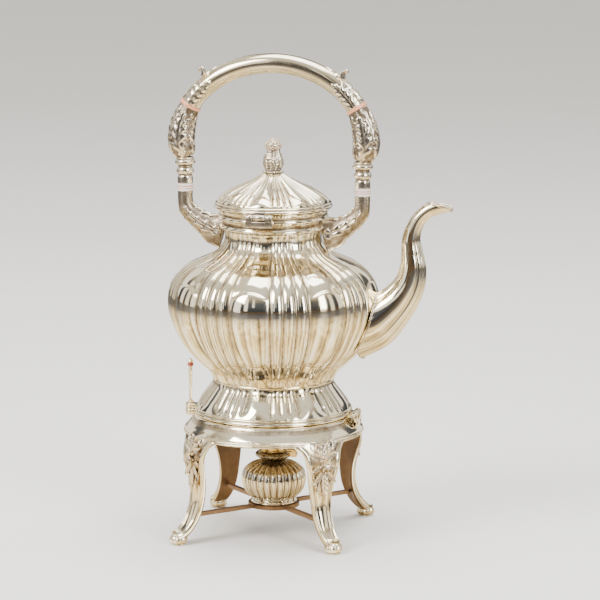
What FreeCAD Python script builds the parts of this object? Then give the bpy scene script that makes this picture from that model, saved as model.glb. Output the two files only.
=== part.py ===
"""Silver kettle pot with a fixed overhead handle, on a four-legged lamp stand with a spirit burner.

Millimetres. +Z is up and +X points along the spout. The origin is on the table, on the pot's own axis.
Each sub-part is one function that returns its solid or solids, and main() writes one STEP file for each node.
"""
import FreeCAD, Part
import math
import os

V = FreeCAD.Vector
UP = V(0, 0, 1)
ALONG_Y = V(0, 1, 0)

# Driving dimensions of the pot.
STAND_TOP = 99.0           # top face of the stand's ring
REST_GAP = 0.3             # between the pot's foot and the stand
WALL = 1.3                 # sheet silver of the body, foot and lid
WAIST_Z = 127.5            # the foot ends and the body begins
NECK_TOP = 250.2           # the body ends and the collar begins
COLLAR_TOP = 266.6
LID_RIM_R = 47.7
MOUTH_R = 41.8             # inside of the collar
FLANGE_R = 40.6            # the lid's flange, which drops into the collar
FINIAL_Z = 295.2           # foot of the finial

# Driving dimensions of the overhead handle, which lies in the XZ plane.
POST_X = 73.3              # axis of the two upright posts
POST_R = 6.2
LOW_INSULATOR_Z = (278.5, 284.5)
FERRULE_TOP = 306.0
ARCH_CENTRE_Z = 320.0      # the arch is half an ellipse about this height
ARCH_A, ARCH_B = 76.3, 63.0
BAND_ANGLE = 26.5          # where the upper insulating band sits on the arch, in degrees
BAND_HALF = 1.4
GRIP_R = 8.2
TENON_R = 3.5
TENON_LONG = 7.0
RIVET_R = 0.9

# Driving dimensions of the stand.
LEG_COUNT = 4
FOOT_R = 90.0              # distance of each foot from the axis
RING_LOW = 83.8            # flat lower edge of the stand's ring, which the legs are soldered to
SEAT_Z = 24.0              # top of the burner's seat
HINGE_X, HINGE_Z = 68.5, 101.0
PIN_X = -70.0              # the locating pin at the back

PROFILE_BODY = [(49.0, 127.5), (53.5, 134.5), (61.6, 141.6), (70.0, 150.0), (76.0, 158.5), (81.7, 169.6),
                (85.5, 180.0), (87.0, 190.0), (86.3, 198.5), (83.4, 207.0), (77.5, 215.5), (69.3, 222.0),
                (60.5, 226.0), (51.5, 230.0), (45.0, 234.5), (41.0, 239.5), (39.6, 244.5), (40.4, 250.2)]
PROFILE_FOOT = [(62.8, 104.6), (61.4, 108.0), (59.0, 112.2), (55.8, 116.6), (52.4, 121.0), (49.6, 125.0),
                (49.0, 127.5)]
PROFILE_DOME = [(45.6, 272.0), (44.9, 274.2), (41.6, 277.6), (36.0, 281.0), (30.0, 283.8), (22.0, 287.2),
                (15.0, 290.8), (10.5, 293.6), (7.6, 295.2)]


def offset_inward(points, wall):
    """The points moved by wall to the left of the path's own direction, in the (r, z) plane."""
    moved = []
    for i, (r, z) in enumerate(points):
        r0, z0 = points[max(i - 1, 0)]
        r1, z1 = points[min(i + 1, len(points) - 1)]
        length = math.hypot(r1 - r0, z1 - z0)
        moved.append((r - wall * (z1 - z0) / length, z + wall * (r1 - r0) / length))
    return moved


def curve(points):
    spline = Part.BSplineCurve()
    spline.interpolate([V(r, 0, z) for r, z in points])
    return spline.toShape()


def line(a, b):
    return Part.makeLine(V(a[0], 0, a[1]), V(b[0], 0, b[1]))


def spin(edges, centre_x=0.0):
    face = Part.Face(Part.Wire(Part.__sortEdges__(edges)))
    return face.revolve(V(centre_x, 0, 0), UP, 360)


def turned(points, centre_x=0.0):
    """A solid of revolution about the upright axis at centre_x, from a closed outline of (r, z) points."""
    corners = [V(centre_x + r, 0, z) for r, z in points]
    outline = Part.makePolygon(corners + corners[:1])
    return Part.Face(outline).revolve(V(centre_x, 0, 0), UP, 360)


def shell_of(points, wall):
    """A sheet of revolution with a level lower edge, whose outer face curves through the points."""
    inner = offset_inward(points, wall)
    inner[0] = (points[0][0] - 1.1 * wall, points[0][1])
    return spin([curve(points), line(points[-1], inner[-1]), curve(inner), line(inner[0], points[0])])


def filled(points):
    """The solid inside a smooth curve of revolution."""
    low, high = (0.0, points[0][1]), (0.0, points[-1][1])
    return spin([curve(points), line(points[-1], high), line(high, low), line(low, points[0])])


def rod(start, end, radius):
    path = end - start
    return Part.makeCylinder(radius, path.Length, start, path)


def block(x0, x1, y0, y1, z0, z1):
    return Part.makeBox(x1 - x0, y1 - y0, z1 - z0, V(x0, y0, z0))


def ellipse_wire(centre, along, half_plane, half_y):
    """An ellipse across a path in the XZ plane: half_plane lies in that plane and half_y lies along Y."""
    along = V(along).normalize()
    in_plane = along.cross(ALONG_Y).normalize()
    placed = FreeCAD.Matrix(in_plane.x * half_plane, 0, along.x, centre.x,
                            0, half_y, 0, centre.y,
                            in_plane.z * half_plane, 0, along.z, centre.z,
                            0, 0, 0, 1)
    return Part.Wire(Part.Circle().toShape()).transformGeometry(placed)


def tube_loft(stations, shrink=0.0):
    wires = [ellipse_wire(V(x, 0, z), V(dx, 0, dz), half - shrink, half_y - shrink)
             for x, z, dx, dz, half, half_y in stations]
    return Part.makeLoft(wires, True, False)


def mirror_x(shape):
    return shape.mirror(V(0, 0, 0), V(1, 0, 0))


def around(shape, number):
    """The shape turned to leg number 0 to 3, counted from the front right."""
    turned_shape = shape.copy()
    turned_shape.rotate(V(0, 0, 0), UP, -45 + number * 360.0 / LEG_COUNT)
    return turned_shape


# The vessel

def body_envelope():
    return filled(PROFILE_BODY)


def vessel_wall():
    """The hollow body, closed by a flat floor at the waist."""
    inner = offset_inward(PROFILE_BODY, WALL)
    floor = [(0.0, WAIST_Z + WALL), (0.0, WAIST_Z)]
    inner_low = (inner[0][0] + 0.6, WAIST_Z + WALL)
    inner = [inner_low] + inner[1:-1] + [(PROFILE_BODY[-1][0] - WALL, NECK_TOP)]
    return spin([curve(PROFILE_BODY), line(PROFILE_BODY[-1], inner[-1]), curve(inner),
                 line(inner_low, floor[0]), line(floor[0], floor[1]), line(floor[1], PROFILE_BODY[0])])


STRAINER_Z = 174.0
STRAINER_R = 13.0


def strainer_plug():
    return rod(V(60, 0, STRAINER_Z), V(95, 0, STRAINER_Z), STRAINER_R)


def spout_strainer(wall):
    """The patch of wall behind the spout, drilled with rings of small holes."""
    patch = wall.common(strainer_plug())
    holes = [rod(V(60, 0, STRAINER_Z), V(95, 0, STRAINER_Z), 1.1)]
    for ring_r, count in ((4.2, 6), (8.4, 12)):
        for i in range(count):
            turn = 2 * math.pi * i / count
            y, z = ring_r * math.cos(turn), STRAINER_Z + ring_r * math.sin(turn)
            holes.append(rod(V(60, y, z), V(95, y, z), 1.1))
    return patch.cut(Part.makeCompound(holes))


def neck_collar():
    """The plain moulded band round the mouth."""
    return turned([(39.1, NECK_TOP), (42.0, NECK_TOP), (43.0, 251.2), (43.2, 252.6), (42.4, 253.8),
                   (42.2, 255.0), (42.8, 258.2), (43.9, 259.2), (44.3, 260.2), (43.8, 261.2), (43.7, 263.0),
                   (44.3, 265.0),
                   (44.9, 265.8), (44.6, COLLAR_TOP), (MOUTH_R, COLLAR_TOP), (MOUTH_R, 255.0), (40.2, 251.6)])


def foot_skirt():
    """The spreading foot under the body."""
    return shell_of(PROFILE_FOOT, WALL)


def foot_rim():
    """The moulded ring that the pot stands on."""
    low = STAND_TOP + REST_GAP
    return turned([(58.2, low), (63.4, low), (64.2, low + 0.9), (64.2, low + 2.4), (63.6, low + 3.3),
                   (63.2, low + 4.2), (62.8, 104.6), (61.2, 104.6), (60.6, 102.6), (58.2, 101.4)])


# The spout: x, z, direction x, direction z, half height in the plane, half width along Y.
SPOUT_STATIONS = [
    (70.0, 173.0, 1.0, 0.10, 27.0, 21.0),
    (84.5, 177.6, 0.97, 0.24, 22.6, 17.6),
    (96.0, 186.6, 0.90, 0.44, 18.4, 14.8),
    (105.4, 197.0, 0.80, 0.60, 15.3, 12.8),
    (111.9, 208.4, 0.62, 0.78, 13.1, 11.4),
    (114.6, 221.0, 0.25, 0.97, 11.3, 10.2),
    (113.9, 233.5, 0.00, 1.00, 9.1, 9.0),
    (113.2, 245.0, 0.10, 1.00, 7.5, 8.0),
    (115.6, 254.6, 0.36, 0.93, 6.5, 7.1),
    (119.8, 262.0, 0.60, 0.80, 6.0, 6.4),
    (126.2, 268.2, 0.80, 0.60, 5.7, 5.8),
    (136.0, 272.6, 0.95, 0.31, 5.2, 5.0),
    (146.4, 274.6, 0.99, 0.14, 4.0, 3.2),
]
MOUTH_BACK = (121.6, 275.0)    # the two ends of the line along which the spout's mouth is cut open
MOUTH_TIP = (147.5, 271.9)


def spout():
    outer = tube_loft(SPOUT_STATIONS)
    bore = tube_loft(SPOUT_STATIONS, 1.3)
    pipe = outer.cut(bore).cut(body_envelope())
    back, tip = MOUTH_BACK, MOUTH_TIP
    corners = [V(back[0], -20, back[1]), V(tip[0], -20, tip[1]), V(tip[0] + 12, -20, tip[1] + 30),
               V(back[0] + 12, -20, back[1] + 30), V(back[0], -20, back[1])]
    above = Part.Face(Part.makePolygon(corners)).extrude(V(0, 40, 0))
    pipe = pipe.cut(above)
    return max(pipe.Solids, key=lambda solid: solid.Volume)


# The overhead handle

def arch_point(degrees):
    turn = math.radians(degrees)
    return ARCH_A * math.cos(turn), ARCH_CENTRE_Z + ARCH_B * math.sin(turn)


def arch_direction(degrees):
    turn = math.radians(degrees)
    dx, dz = -ARCH_A * math.sin(turn), ARCH_B * math.cos(turn)
    length = math.hypot(dx, dz)
    return dx / length, dz / length


def arch_station(degrees, half):
    return (*arch_point(degrees), *arch_direction(degrees), half, half)


def band_frame():
    x, z = arch_point(BAND_ANGLE)
    dx, dz = arch_direction(BAND_ANGLE)
    return V(x, 0, z), V(dx, 0, dz)


def band_slab():
    """A disc as thick as the upper band and wider than the handle, square to the arch."""
    centre, along = band_frame()
    return rod(centre - along * BAND_HALF, centre + along * BAND_HALF, 2 * GRIP_R)


STUB_LOW = 270.0           # the socket is a plain round stub from here up to the insulator
SOCKET_STATIONS = [
    (POST_X, STUB_LOW, 0.0, -1.0, POST_R, POST_R),
    (70.2, 262.8, -0.50, -0.87, 6.9, 6.8),
    (62.6, 255.6, -0.78, -0.62, 7.6, 7.3),
    (55.0, 250.6, -0.92, -0.38, 9.8, 7.6),
    (47.0, 247.4, -0.99, -0.12, 14.2, 7.9),
    (38.0, 247.0, -1.00, 0.00, 15.0, 8.0),
]


def handle_socket():
    """The leaf-clad bracket soldered to the neck, below the lower insulator on the spout's side."""
    collar_core = Part.makeCylinder(44.95, 17.0, V(0, 0, NECK_TOP - 0.2))
    bend = tube_loft(SOCKET_STATIONS).cut([body_envelope(), collar_core])
    bend = max(bend.Solids, key=lambda solid: solid.Volume)
    stub = Part.makeCylinder(POST_R, LOW_INSULATOR_Z[0] - STUB_LOW, V(POST_X, 0, STUB_LOW))
    return stub.cut([tenon_core(), rivets_at_low_insulator()]).fuse(bend)


def tenon_core():
    z0, z1 = LOW_INSULATOR_Z
    return Part.makeCylinder(TENON_R, z1 - z0 + 2 * TENON_LONG, V(POST_X, 0, z0 - TENON_LONG))


def low_insulator():
    """An ivory-coloured washer with a tenon at each end, which keeps the handle cool."""
    z0, z1 = LOW_INSULATOR_Z
    disc = turned([(0, z0), (6.5, z0), (7.0, z0 + 0.7), (7.0, z0 + 1.3), (6.5, z0 + 1.9), (6.5, z1 - 1.9),
                   (7.0, z1 - 1.3), (7.0, z1 - 0.7), (6.5, z1), (0, z1)], POST_X)
    return disc.fuse(tenon_core()).removeSplitter().cut(rivets_at_low_insulator())


def rivets_at_low_insulator():
    z0, z1 = LOW_INSULATOR_Z
    pins = [rod(V(POST_X, -6.4, z), V(POST_X, 6.4, z), RIVET_R) for z in (z0 - 3.6, z1 + 3.6)]
    return Part.makeCompound(pins)


def ferrule():
    """The turned and ringed lower end of the handle's arm."""
    z1 = LOW_INSULATOR_Z[1]
    outline = [(0, z1), (POST_R, z1), (POST_R, z1 + 6.2), (5.6, z1 + 7.0), (6.4, z1 + 8.0), (7.1, z1 + 10.5),
               (6.4, z1 + 13.0), (5.7, z1 + 14.2), (6.3, z1 + 15.6), (7.9, z1 + 16.6), (8.3, z1 + 18.0),
               (7.9, z1 + 19.4), (6.6, z1 + 20.3), (6.4, FERRULE_TOP), (0, FERRULE_TOP)]
    return turned(outline, POST_X).cut(tenon_core()).cut(rivets_at_low_insulator())


def handle_arm():
    """The swelling, leaf-chased length between the ferrule and the upper band."""
    stations = [(POST_X, FERRULE_TOP, 0.0, 1.0, 6.4, 6.4),
                (74.2, 310.5, 0.10, 0.99, 9.4, 9.0),
                arch_station(-3, 10.6), arch_station(3, 10.9), arch_station(9, 10.7), arch_station(17, 10.0),
                arch_station(BAND_ANGLE, 8.9)]
    return tube_loft(stations).cut([band_slab(), band_core(), rivets_at_band()])


def band_core():
    centre, along = band_frame()
    reach = along * (BAND_HALF + TENON_LONG)
    return rod(centre - reach, centre + reach, TENON_R)


def rivets_at_band():
    centre, along = band_frame()
    pins = []
    for reach in (-BAND_HALF - 3.6, BAND_HALF + 3.6):
        middle = centre + along * reach
        pins.append(rod(middle + V(0, -GRIP_R, 0), middle + V(0, GRIP_R, 0), RIVET_R))
    return Part.makeCompound(pins)


def high_insulator():
    centre, along = band_frame()
    disc = rod(centre - along * BAND_HALF, centre + along * BAND_HALF, 9.1)
    return disc.fuse(band_core()).removeSplitter().cut(rivets_at_band())


def handle_grip():
    """The smooth arch held by the hand, with a curled leaf tip standing up at each end."""
    steps = 12
    step = (180 - 2 * BAND_ANGLE) / steps
    stations = [arch_station(BAND_ANGLE + step * i, GRIP_R) for i in range(steps + 1)]
    arch = tube_loft(stations)
    x, z = arch_point(44)
    tip = Part.makeLoft([ellipse_wire(V(x - 1.5, 0, z + 5.0), V(0.3, 0, 1), 3.4, 3.6),
                         ellipse_wire(V(x + 0.5, 0, z + 9.6), V(0.1, 0, 1), 2.2, 2.6),
                         ellipse_wire(V(x - 0.6, 0, z + 13.0), V(-0.3, 0, 1), 1.1, 1.6)], True, False)
    arch = arch.fuse([tip, mirror_x(tip)])
    cutters = [band_slab(), band_core(), rivets_at_band()]
    return arch.cut(cutters + [mirror_x(cutter) for cutter in cutters])


def handle_rivets():
    pins = rivets_at_low_insulator().Solids + rivets_at_band().Solids
    return Part.makeCompound(pins + [mirror_x(pin) for pin in pins])


# The lid

RIM_LOW = COLLAR_TOP + 0.4
RIM_FACE = [(46.2, RIM_LOW), (47.2, RIM_LOW + 0.6), (LID_RIM_R, RIM_LOW + 1.6), (47.2, RIM_LOW + 2.6),
            (46.5, RIM_LOW + 3.0), (46.8, RIM_LOW + 3.8), (46.5, RIM_LOW + 4.6), (45.6, 272.0)]


def lid_rim():
    """The moulded edge that overhangs the collar."""
    inside = [(44.3, 271.7), (43.4, RIM_LOW + 3.6), (FLANGE_R, RIM_LOW + 2.0)]
    return turned([(FLANGE_R, RIM_LOW)] + RIM_FACE + inside)


def lid_flange():
    """The short tube under the lid that drops into the mouth."""
    low = COLLAR_TOP - 5.5
    return turned([(FLANGE_R - 1.4, low), (FLANGE_R - 0.5, low), (FLANGE_R, low + 0.6),
                   (FLANGE_R, COLLAR_TOP + 2.4), (FLANGE_R - 1.4, COLLAR_TOP + 2.4)])


def lid_dome():
    return shell_of(PROFILE_DOME, WALL).cut(Part.makeCylinder(1.6, 20, V(0, 0, 285)))


def finial_base():
    """The petal ring between the dome and the finial."""
    z = FINIAL_Z
    return turned([(1.6, z), (7.6, z), (8.4, z + 0.7), (8.2, z + 1.6), (6.6, z + 2.4), (6.2, z + 3.1),
                   (1.6, z + 3.1)])


def finial():
    z = FINIAL_Z + 3.1
    points = [(6.2, z), (8.0, z + 2.6), (8.5, z + 6.0), (8.0, z + 9.5), (6.6, z + 12.8), (6.1, z + 15.2),
              (7.2, z + 17.6), (7.5, z + 20.2), (6.3, z + 22.8), (3.4, z + 24.4), (0.0, z + 24.8)]
    bud = spin([curve(points), line((0, z + 24.8), (0, z)), line((0, z), points[0])])
    return bud.cut(Part.makeCylinder(1.6, 6.0, V(0, 0, z)))


def finial_screw():
    """The stud that comes down from the finial through the dome."""
    top = FINIAL_Z + 3.1 + 6.0
    return Part.makeCylinder(1.6, top - 288.0, V(0, 0, 288.0))


def finial_washer():
    return turned([(1.6, 292.2), (7.0, 292.2), (7.0, 293.2), (1.6, 293.2)])


def finial_nut():
    turns = [math.radians(60 * i) for i in range(7)]
    corners = [V(3.6 * math.cos(turn), 3.6 * math.sin(turn), 289.2) for turn in turns]
    nut = Part.Face(Part.makePolygon(corners)).extrude(V(0, 0, 3.0))
    return nut.cut(Part.makeCylinder(1.6, 4, V(0, 0, 289)))


# The lid's hinge, on the front of the collar. Its pin lies along X.
LID_HINGE_Y, LID_HINGE_Z = -48.4, 265.0
LID_KNUCKLE_R = 2.4
LID_PIN_R = 0.9
LID_HINGE_HALF = 11.0      # half the hinge's whole length
LID_KNUCKLE_HALF = 4.8     # half the middle knuckle's length


def along_x(y, z, x0, x1, radius):
    return rod(V(x0, y, z), V(x1, y, z), radius)


def lid_hinge_core(extra):
    return along_x(LID_HINGE_Y, LID_HINGE_Z, -LID_HINGE_HALF, LID_HINGE_HALF, LID_PIN_R + extra)


def lid_hinge_leaf():
    """The middle knuckle, on the lid."""
    half = LID_KNUCKLE_HALF
    barrel = along_x(LID_HINGE_Y, LID_HINGE_Z, -half, half, LID_KNUCKLE_R)
    web = block(-half, half, LID_HINGE_Y - 0.2, -45.4, LID_HINGE_Z + 1.2, RIM_LOW + 2.6)
    rim_core = turned([(0, RIM_LOW)] + RIM_FACE[:4] + [(0, RIM_LOW + 2.6)])
    leaf = barrel.fuse(web).removeSplitter().cut([rim_core, Part.makeCylinder(45.2, 10, V(0, 0, 258))])
    return max(leaf.Solids, key=lambda solid: solid.Volume).cut(lid_hinge_core(0.05))


def collar_hinge_leaf():
    """The two outer knuckles, on a plate soldered to the collar."""
    half = LID_KNUCKLE_HALF + 0.2
    outside = LID_HINGE_Y - LID_KNUCKLE_R
    leaf = block(-LID_HINGE_HALF, LID_HINGE_HALF, outside, -40.0, 257.4, 262.0)
    for x0, x1 in ((-LID_HINGE_HALF, -half), (half, LID_HINGE_HALF)):
        barrel = along_x(LID_HINGE_Y, LID_HINGE_Z, x0, x1, LID_KNUCKLE_R)
        web = block(x0, x1, outside, -46.0, 260.0, LID_HINGE_Z)
        leaf = leaf.fuse([barrel, web])
    collar_core = Part.makeCylinder(45.0, 20, V(0, 0, 250))
    leaf = leaf.removeSplitter().cut([collar_core, lid_hinge_core(0.0)])
    return max(leaf.Solids, key=lambda solid: solid.Volume)


def lid_hinge_pin():
    return lid_hinge_core(0.0)


# The stand

RING_OUTLINE = [(62.6, STAND_TOP), (65.8, 97.6), (69.0, 94.0), (71.4, 89.4), (72.6, 87.4), (73.4, 85.8),
                (73.0, 84.4), (72.2, RING_LOW), (69.4, RING_LOW), (69.0, 86.4), (67.6, 90.0), (65.8, 93.4),
                (63.4, 95.8), (61.0, 96.8)]


def stand_ring():
    """The flared ring that carries the pot, with a bead at its lower edge."""
    return turned([(54.0, STAND_TOP)] + RING_OUTLINE + [(54.0, 96.8)])


def ring_core():
    """Everything inside the ring's outer face, for trimming what is soldered to the ring."""
    return turned([(0, STAND_TOP)] + RING_OUTLINE[:8] + [(0, RING_LOW)])


# Radius, height, half width and half thickness of a leg, from its head down to its foot.
LEG_STATIONS = [
    (71.4, 88.0, 18.6, 2.0),
    (74.4, 82.0, 18.2, 2.2),
    (75.6, 74.0, 16.4, 2.5),
    (73.6, 61.0, 13.6, 2.7),
    (71.2, 48.0, 10.8, 2.8),
    (71.6, 34.0, 9.2, 2.9),
    (76.4, 20.0, 8.2, 3.0),
    (84.0, 9.8, 7.0, 3.0),
    (89.5, 5.6, 5.6, 2.8),
]


def leg_blank():
    """The strip of a leg: its curved side outline, cut to its tapering width."""
    middle = [(r, z) for r, z, width, thick in LEG_STATIONS]
    outer = [offset_inward(middle, thick)[i] for i, (r, z, width, thick) in enumerate(LEG_STATIONS)]
    inner = [offset_inward(middle, -thick)[i] for i, (r, z, width, thick) in enumerate(LEG_STATIONS)]
    edges = [curve(outer), curve(inner), line(outer[0], inner[0]), line(outer[-1], inner[-1])]
    side = Part.Face(Part.Wire(Part.__sortEdges__(edges)))
    side.translate(V(0, -20, 0))
    left = [V(40, -width, z) for r, z, width, thick in LEG_STATIONS]
    right = [V(40, width, z) for r, z, width, thick in LEG_STATIONS]
    flanks = []
    for points in (left, right):
        flank = Part.BSplineCurve()
        flank.interpolate(points)
        flanks.append(flank.toShape())
    flanks += [Part.makeLine(left[0], right[0]), Part.makeLine(left[-1], right[-1])]
    front = Part.Face(Part.Wire(Part.__sortEdges__(flanks)))
    return side.extrude(V(0, 40, 0)).common(front.extrude(V(70, 0, 0)))


def leg():
    """A cast cabriole leg, with the boss that carries its flower spray."""
    boss = Part.makeSphere(1.0)
    grown = FreeCAD.Matrix()
    grown.scale(4.4, 13.0, 17.5)
    boss = boss.transformGeometry(grown)
    boss.rotate(V(0, 0, 0), ALONG_Y, 5)
    boss.translate(V(76.4, 0, 70.5))
    blank = leg_blank().fuse(boss).cut([ring_core(), foot_pad(), bracket_rivet()])
    return max(blank.Solids, key=lambda solid: solid.Volume)


def foot_pad():
    """The scrolled foot, flat where it meets the table."""
    return turned([(0, 0), (4.6, 0), (6.8, 1.4), (7.6, 3.8), (7.0, 6.6), (5.0, 8.6), (0, 9.4)], FOOT_R)


def bracket_rivet():
    return rod(V(60.0, 0, SEAT_Z - 1.5), V(78.0, 0, SEAT_Z - 1.5), 1.0)


def seat_ring():
    """The ring that the burner stands on."""
    return turned([(15.0, SEAT_Z - 3.0), (21.0, SEAT_Z - 3.0), (21.0, SEAT_Z), (15.0, SEAT_Z)])


def seat_bracket():
    """An arm from the seat ring out to a leg."""
    arm = block(20.0, 78.0, -2.2, 2.2, SEAT_Z - 3.0, SEAT_Z)
    arm = arm.cut(Part.makeCylinder(21.0, 10, V(0, 0, SEAT_Z - 6))).cut(leg_blank())
    arm = min(arm.Solids, key=lambda solid: solid.CenterOfMass.x)
    return arm.cut(bracket_rivet())


# The hinge at the front, on which the pot tips to pour. Its pin lies along Y.
KNUCKLE_R = 2.7
HINGE_PIN_R = 1.2
KNUCKLE_HALF = 3.6


def along_y(x, z, y0, y1, radius):
    return rod(V(x, y0, z), V(x, y1, z), radius)


def tilt_core(extra):
    return along_y(HINGE_X, HINGE_Z, -9.4, 9.4, HINGE_PIN_R + extra)


def tilt_knuckle_pot():
    half = KNUCKLE_HALF
    barrel = along_y(HINGE_X, HINGE_Z, -half, half, KNUCKLE_R)
    web = block(60.0, HINGE_X, -half, half, STAND_TOP + REST_GAP, HINGE_Z + 1.8)
    foot_core = Part.makeCylinder(64.2, 12, V(0, 0, 96))
    return barrel.fuse(web).removeSplitter().cut(foot_core).cut(tilt_core(0.05))


def tilt_knuckle_stand():
    half = KNUCKLE_HALF + 0.2
    pieces = None
    for y0, y1 in ((-half - 4.6, -half), (half, half + 4.6)):
        barrel = along_y(HINGE_X, HINGE_Z, y0, y1, KNUCKLE_R)
        web = block(66.2, HINGE_X + KNUCKLE_R, y0, y1, 90.5, HINGE_Z)
        piece = barrel.fuse(web)
        pieces = piece if pieces is None else pieces.fuse(piece)
    tie = block(66.2, HINGE_X + KNUCKLE_R, -half - 4.6, half + 4.6, 90.5, 96.0)
    lug = pieces.fuse(tie).removeSplitter().cut(ring_core()).cut(tilt_core(0.0))
    return max(lug.Solids, key=lambda solid: solid.Volume)


def tilt_pin():
    pin = tilt_core(0.0)
    for y in (-9.8, 9.8):
        pin = pin.fuse(Part.makeSphere(1.9, V(HINGE_X, y, HINGE_Z)))
    return pin.removeSplitter()


# The locating pin at the back.
PIN_R = 1.3


def rear_lug_pot():
    low = STAND_TOP + REST_GAP
    tab = block(PIN_X, -60.0, -4.2, 4.2, low, low + 3.6).fuse(Part.makeCylinder(4.2, 3.6, V(PIN_X, 0, low)))
    tab = tab.removeSplitter().cut(Part.makeCylinder(64.2, 12, V(0, 0, 96)))
    return tab.cut(Part.makeCylinder(PIN_R + 0.1, 12, V(PIN_X, 0, 96)))


def rear_lug_stand():
    tab = block(PIN_X, -60.0, -4.2, 4.2, 93.6, 98.8).fuse(Part.makeCylinder(4.2, 5.2, V(PIN_X, 0, 93.6)))
    tab = tab.removeSplitter().cut(ring_core())
    tab = max(tab.Solids, key=lambda solid: solid.Volume)
    return tab.cut(Part.makeCylinder(PIN_R + 0.7, 12, V(PIN_X, 0, 90)))


PIN_TOP = 134.0


def locating_pin():
    """A slender upright pin whose tip keys into the stand's lug."""
    low = STAND_TOP + REST_GAP + 3.6
    return turned([(0, 94.4), (0.7, 94.4), (PIN_R, 95.6), (PIN_R, low + 0.2), (2.4, low + 0.2),
                   (2.4, low + 1.6), (1.2, low + 2.6), (1.1, 112.0), (1.6, PIN_TOP - 0.8),
                   (1.9, PIN_TOP), (0, PIN_TOP)], PIN_X)


def pin_bead():
    """The red insulating bead under the pin's knob."""
    z = PIN_TOP
    return turned([(0, z), (2.2, z), (2.6, z + 0.8), (2.6, z + 1.4), (2.2, z + 2.2), (0, z + 2.2)], PIN_X)


def pin_knob():
    z = PIN_TOP + 2.2
    return turned([(0, z), (1.6, z), (2.2, z + 0.8), (2.3, z + 1.8), (1.6, z + 3.0), (0.9, z + 3.6),
                   (0, z + 3.8)], PIN_X)


# The burner, which stands on the seat ring.
BURNER_LOW = SEAT_Z + 0.3
PROFILE_BOWL = [(17.6, 28.0), (22.4, 32.0), (25.4, 38.0), (26.4, 45.0), (25.0, 52.0), (20.6, 57.6),
                (14.0, 60.8)]


def burner_foot():
    return turned([(12.0, BURNER_LOW), (18.6, BURNER_LOW), (19.0, BURNER_LOW + 1.2), (17.8, BURNER_LOW + 2.6),
                   (17.6, 28.0), (12.0, 28.0)])


def burner_bowl():
    """The hollow reservoir, closed at its foot."""
    inner = offset_inward(PROFILE_BOWL, 1.2)
    inner[0] = (inner[0][0], 29.2)
    inner[-1] = (PROFILE_BOWL[-1][0] - 1.6, PROFILE_BOWL[-1][1])
    return spin([curve(PROFILE_BOWL), line(PROFILE_BOWL[-1], inner[-1]), curve(inner),
                 line(inner[0], (0, 29.2)), line((0, 29.2), (0, 28.0)), line((0, 28.0), PROFILE_BOWL[0])])


def burner_collar():
    """The dark rolled ring round the burner's mouth."""
    return turned([(7.0, 60.8), (13.6, 60.8), (14.8, 62.0), (15.2, 63.6), (14.6, 65.2), (13.2, 66.0),
                   (11.6, 65.4), (11.2, 63.8), (7.0, 63.8)])


def wick_tube():
    return turned([(5.4, 50.0), (7.0, 50.0), (7.0, 68.6), (5.4, 68.6)])


def wick():
    return Part.makeCylinder(5.4, 39.0, V(0, 0, 31.0))


# The burner's snuffer cap, hinged on the spout's side. Its pin lies along Y.
CAP_HINGE_X, CAP_HINGE_Z = 17.6, 66.4


def snuffer_cap():
    return turned([(0, 76.0), (4.0, 75.4), (8.0, 73.4), (10.2, 70.8), (10.8, 66.6), (9.8, 66.6), (9.2, 70.4),
                   (7.2, 72.6), (3.6, 74.4), (0, 75.0)])


def snuffer_button():
    return turned([(0, 76.0), (1.2, 75.9), (1.4, 77.4), (2.4, 78.4), (2.4, 79.6), (1.4, 80.6), (0, 80.9)])


def snuffer_strap():
    """The strap from the cap to its hinge knuckle."""
    barrel = along_y(CAP_HINGE_X, CAP_HINGE_Z, -2.0, 2.0, 1.6)
    strap = block(8.0, CAP_HINGE_X, -2.0, 2.0, 67.0, 68.0)
    cap_core = Part.makeCylinder(10.75, 8, V(0, 0, 64))
    pin_hole = along_y(CAP_HINGE_X, CAP_HINGE_Z, -9, 9, 0.75)
    return barrel.fuse(strap).removeSplitter().cut([cap_core, pin_hole])


def snuffer_bracket():
    """The two ears on the collar that hold the cap's hinge pin."""
    collar_core = turned([(0, 60.0), (13.6, 60.8), (14.8, 62.0), (15.2, 63.6), (14.6, 65.2), (13.2, 66.0),
                          (0, 70.0)])
    ears = None
    for y0, y1 in ((-3.6, -2.2), (2.2, 3.6)):
        ear = along_y(CAP_HINGE_X, CAP_HINGE_Z, y0, y1, 1.6).fuse(
            block(13.0, CAP_HINGE_X + 1.6, y0, y1, 62.4, CAP_HINGE_Z))
        ears = ear if ears is None else ears.fuse(ear)
    tie = block(13.0, CAP_HINGE_X + 1.6, -3.6, 3.6, 62.4, 64.2)
    lug = ears.fuse(tie).removeSplitter().cut(collar_core)
    lug = max(lug.Solids, key=lambda solid: solid.Volume)
    return lug.cut(along_y(CAP_HINGE_X, CAP_HINGE_Z, -9, 9, 0.7))


def snuffer_pin():
    return along_y(CAP_HINGE_X, CAP_HINGE_Z, -4.0, 4.0, 0.7)


def vessel_parts():
    wall = vessel_wall()
    return {
        "kettle_body": wall.cut(strainer_plug()),
        "spout_strainer": spout_strainer(wall),
        "neck_collar": neck_collar(),
        "foot_skirt": foot_skirt(),
        "foot_rim": foot_rim(),
        "spout": spout(),
    }


def handle_parts():
    socket, insulator, turned_end = handle_socket(), low_insulator(), ferrule()
    arm, band = handle_arm(), high_insulator()
    parts = {"handle_grip": handle_grip(), "handle_rivets": handle_rivets()}
    both_sides = {"handle_socket": socket, "lower_insulator": insulator, "handle_ferrule": turned_end,
                  "handle_arm": arm, "upper_insulator": band}
    for name, piece in both_sides.items():
        parts[name + "_front"] = piece
        parts[name + "_rear"] = mirror_x(piece)
    return parts


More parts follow.
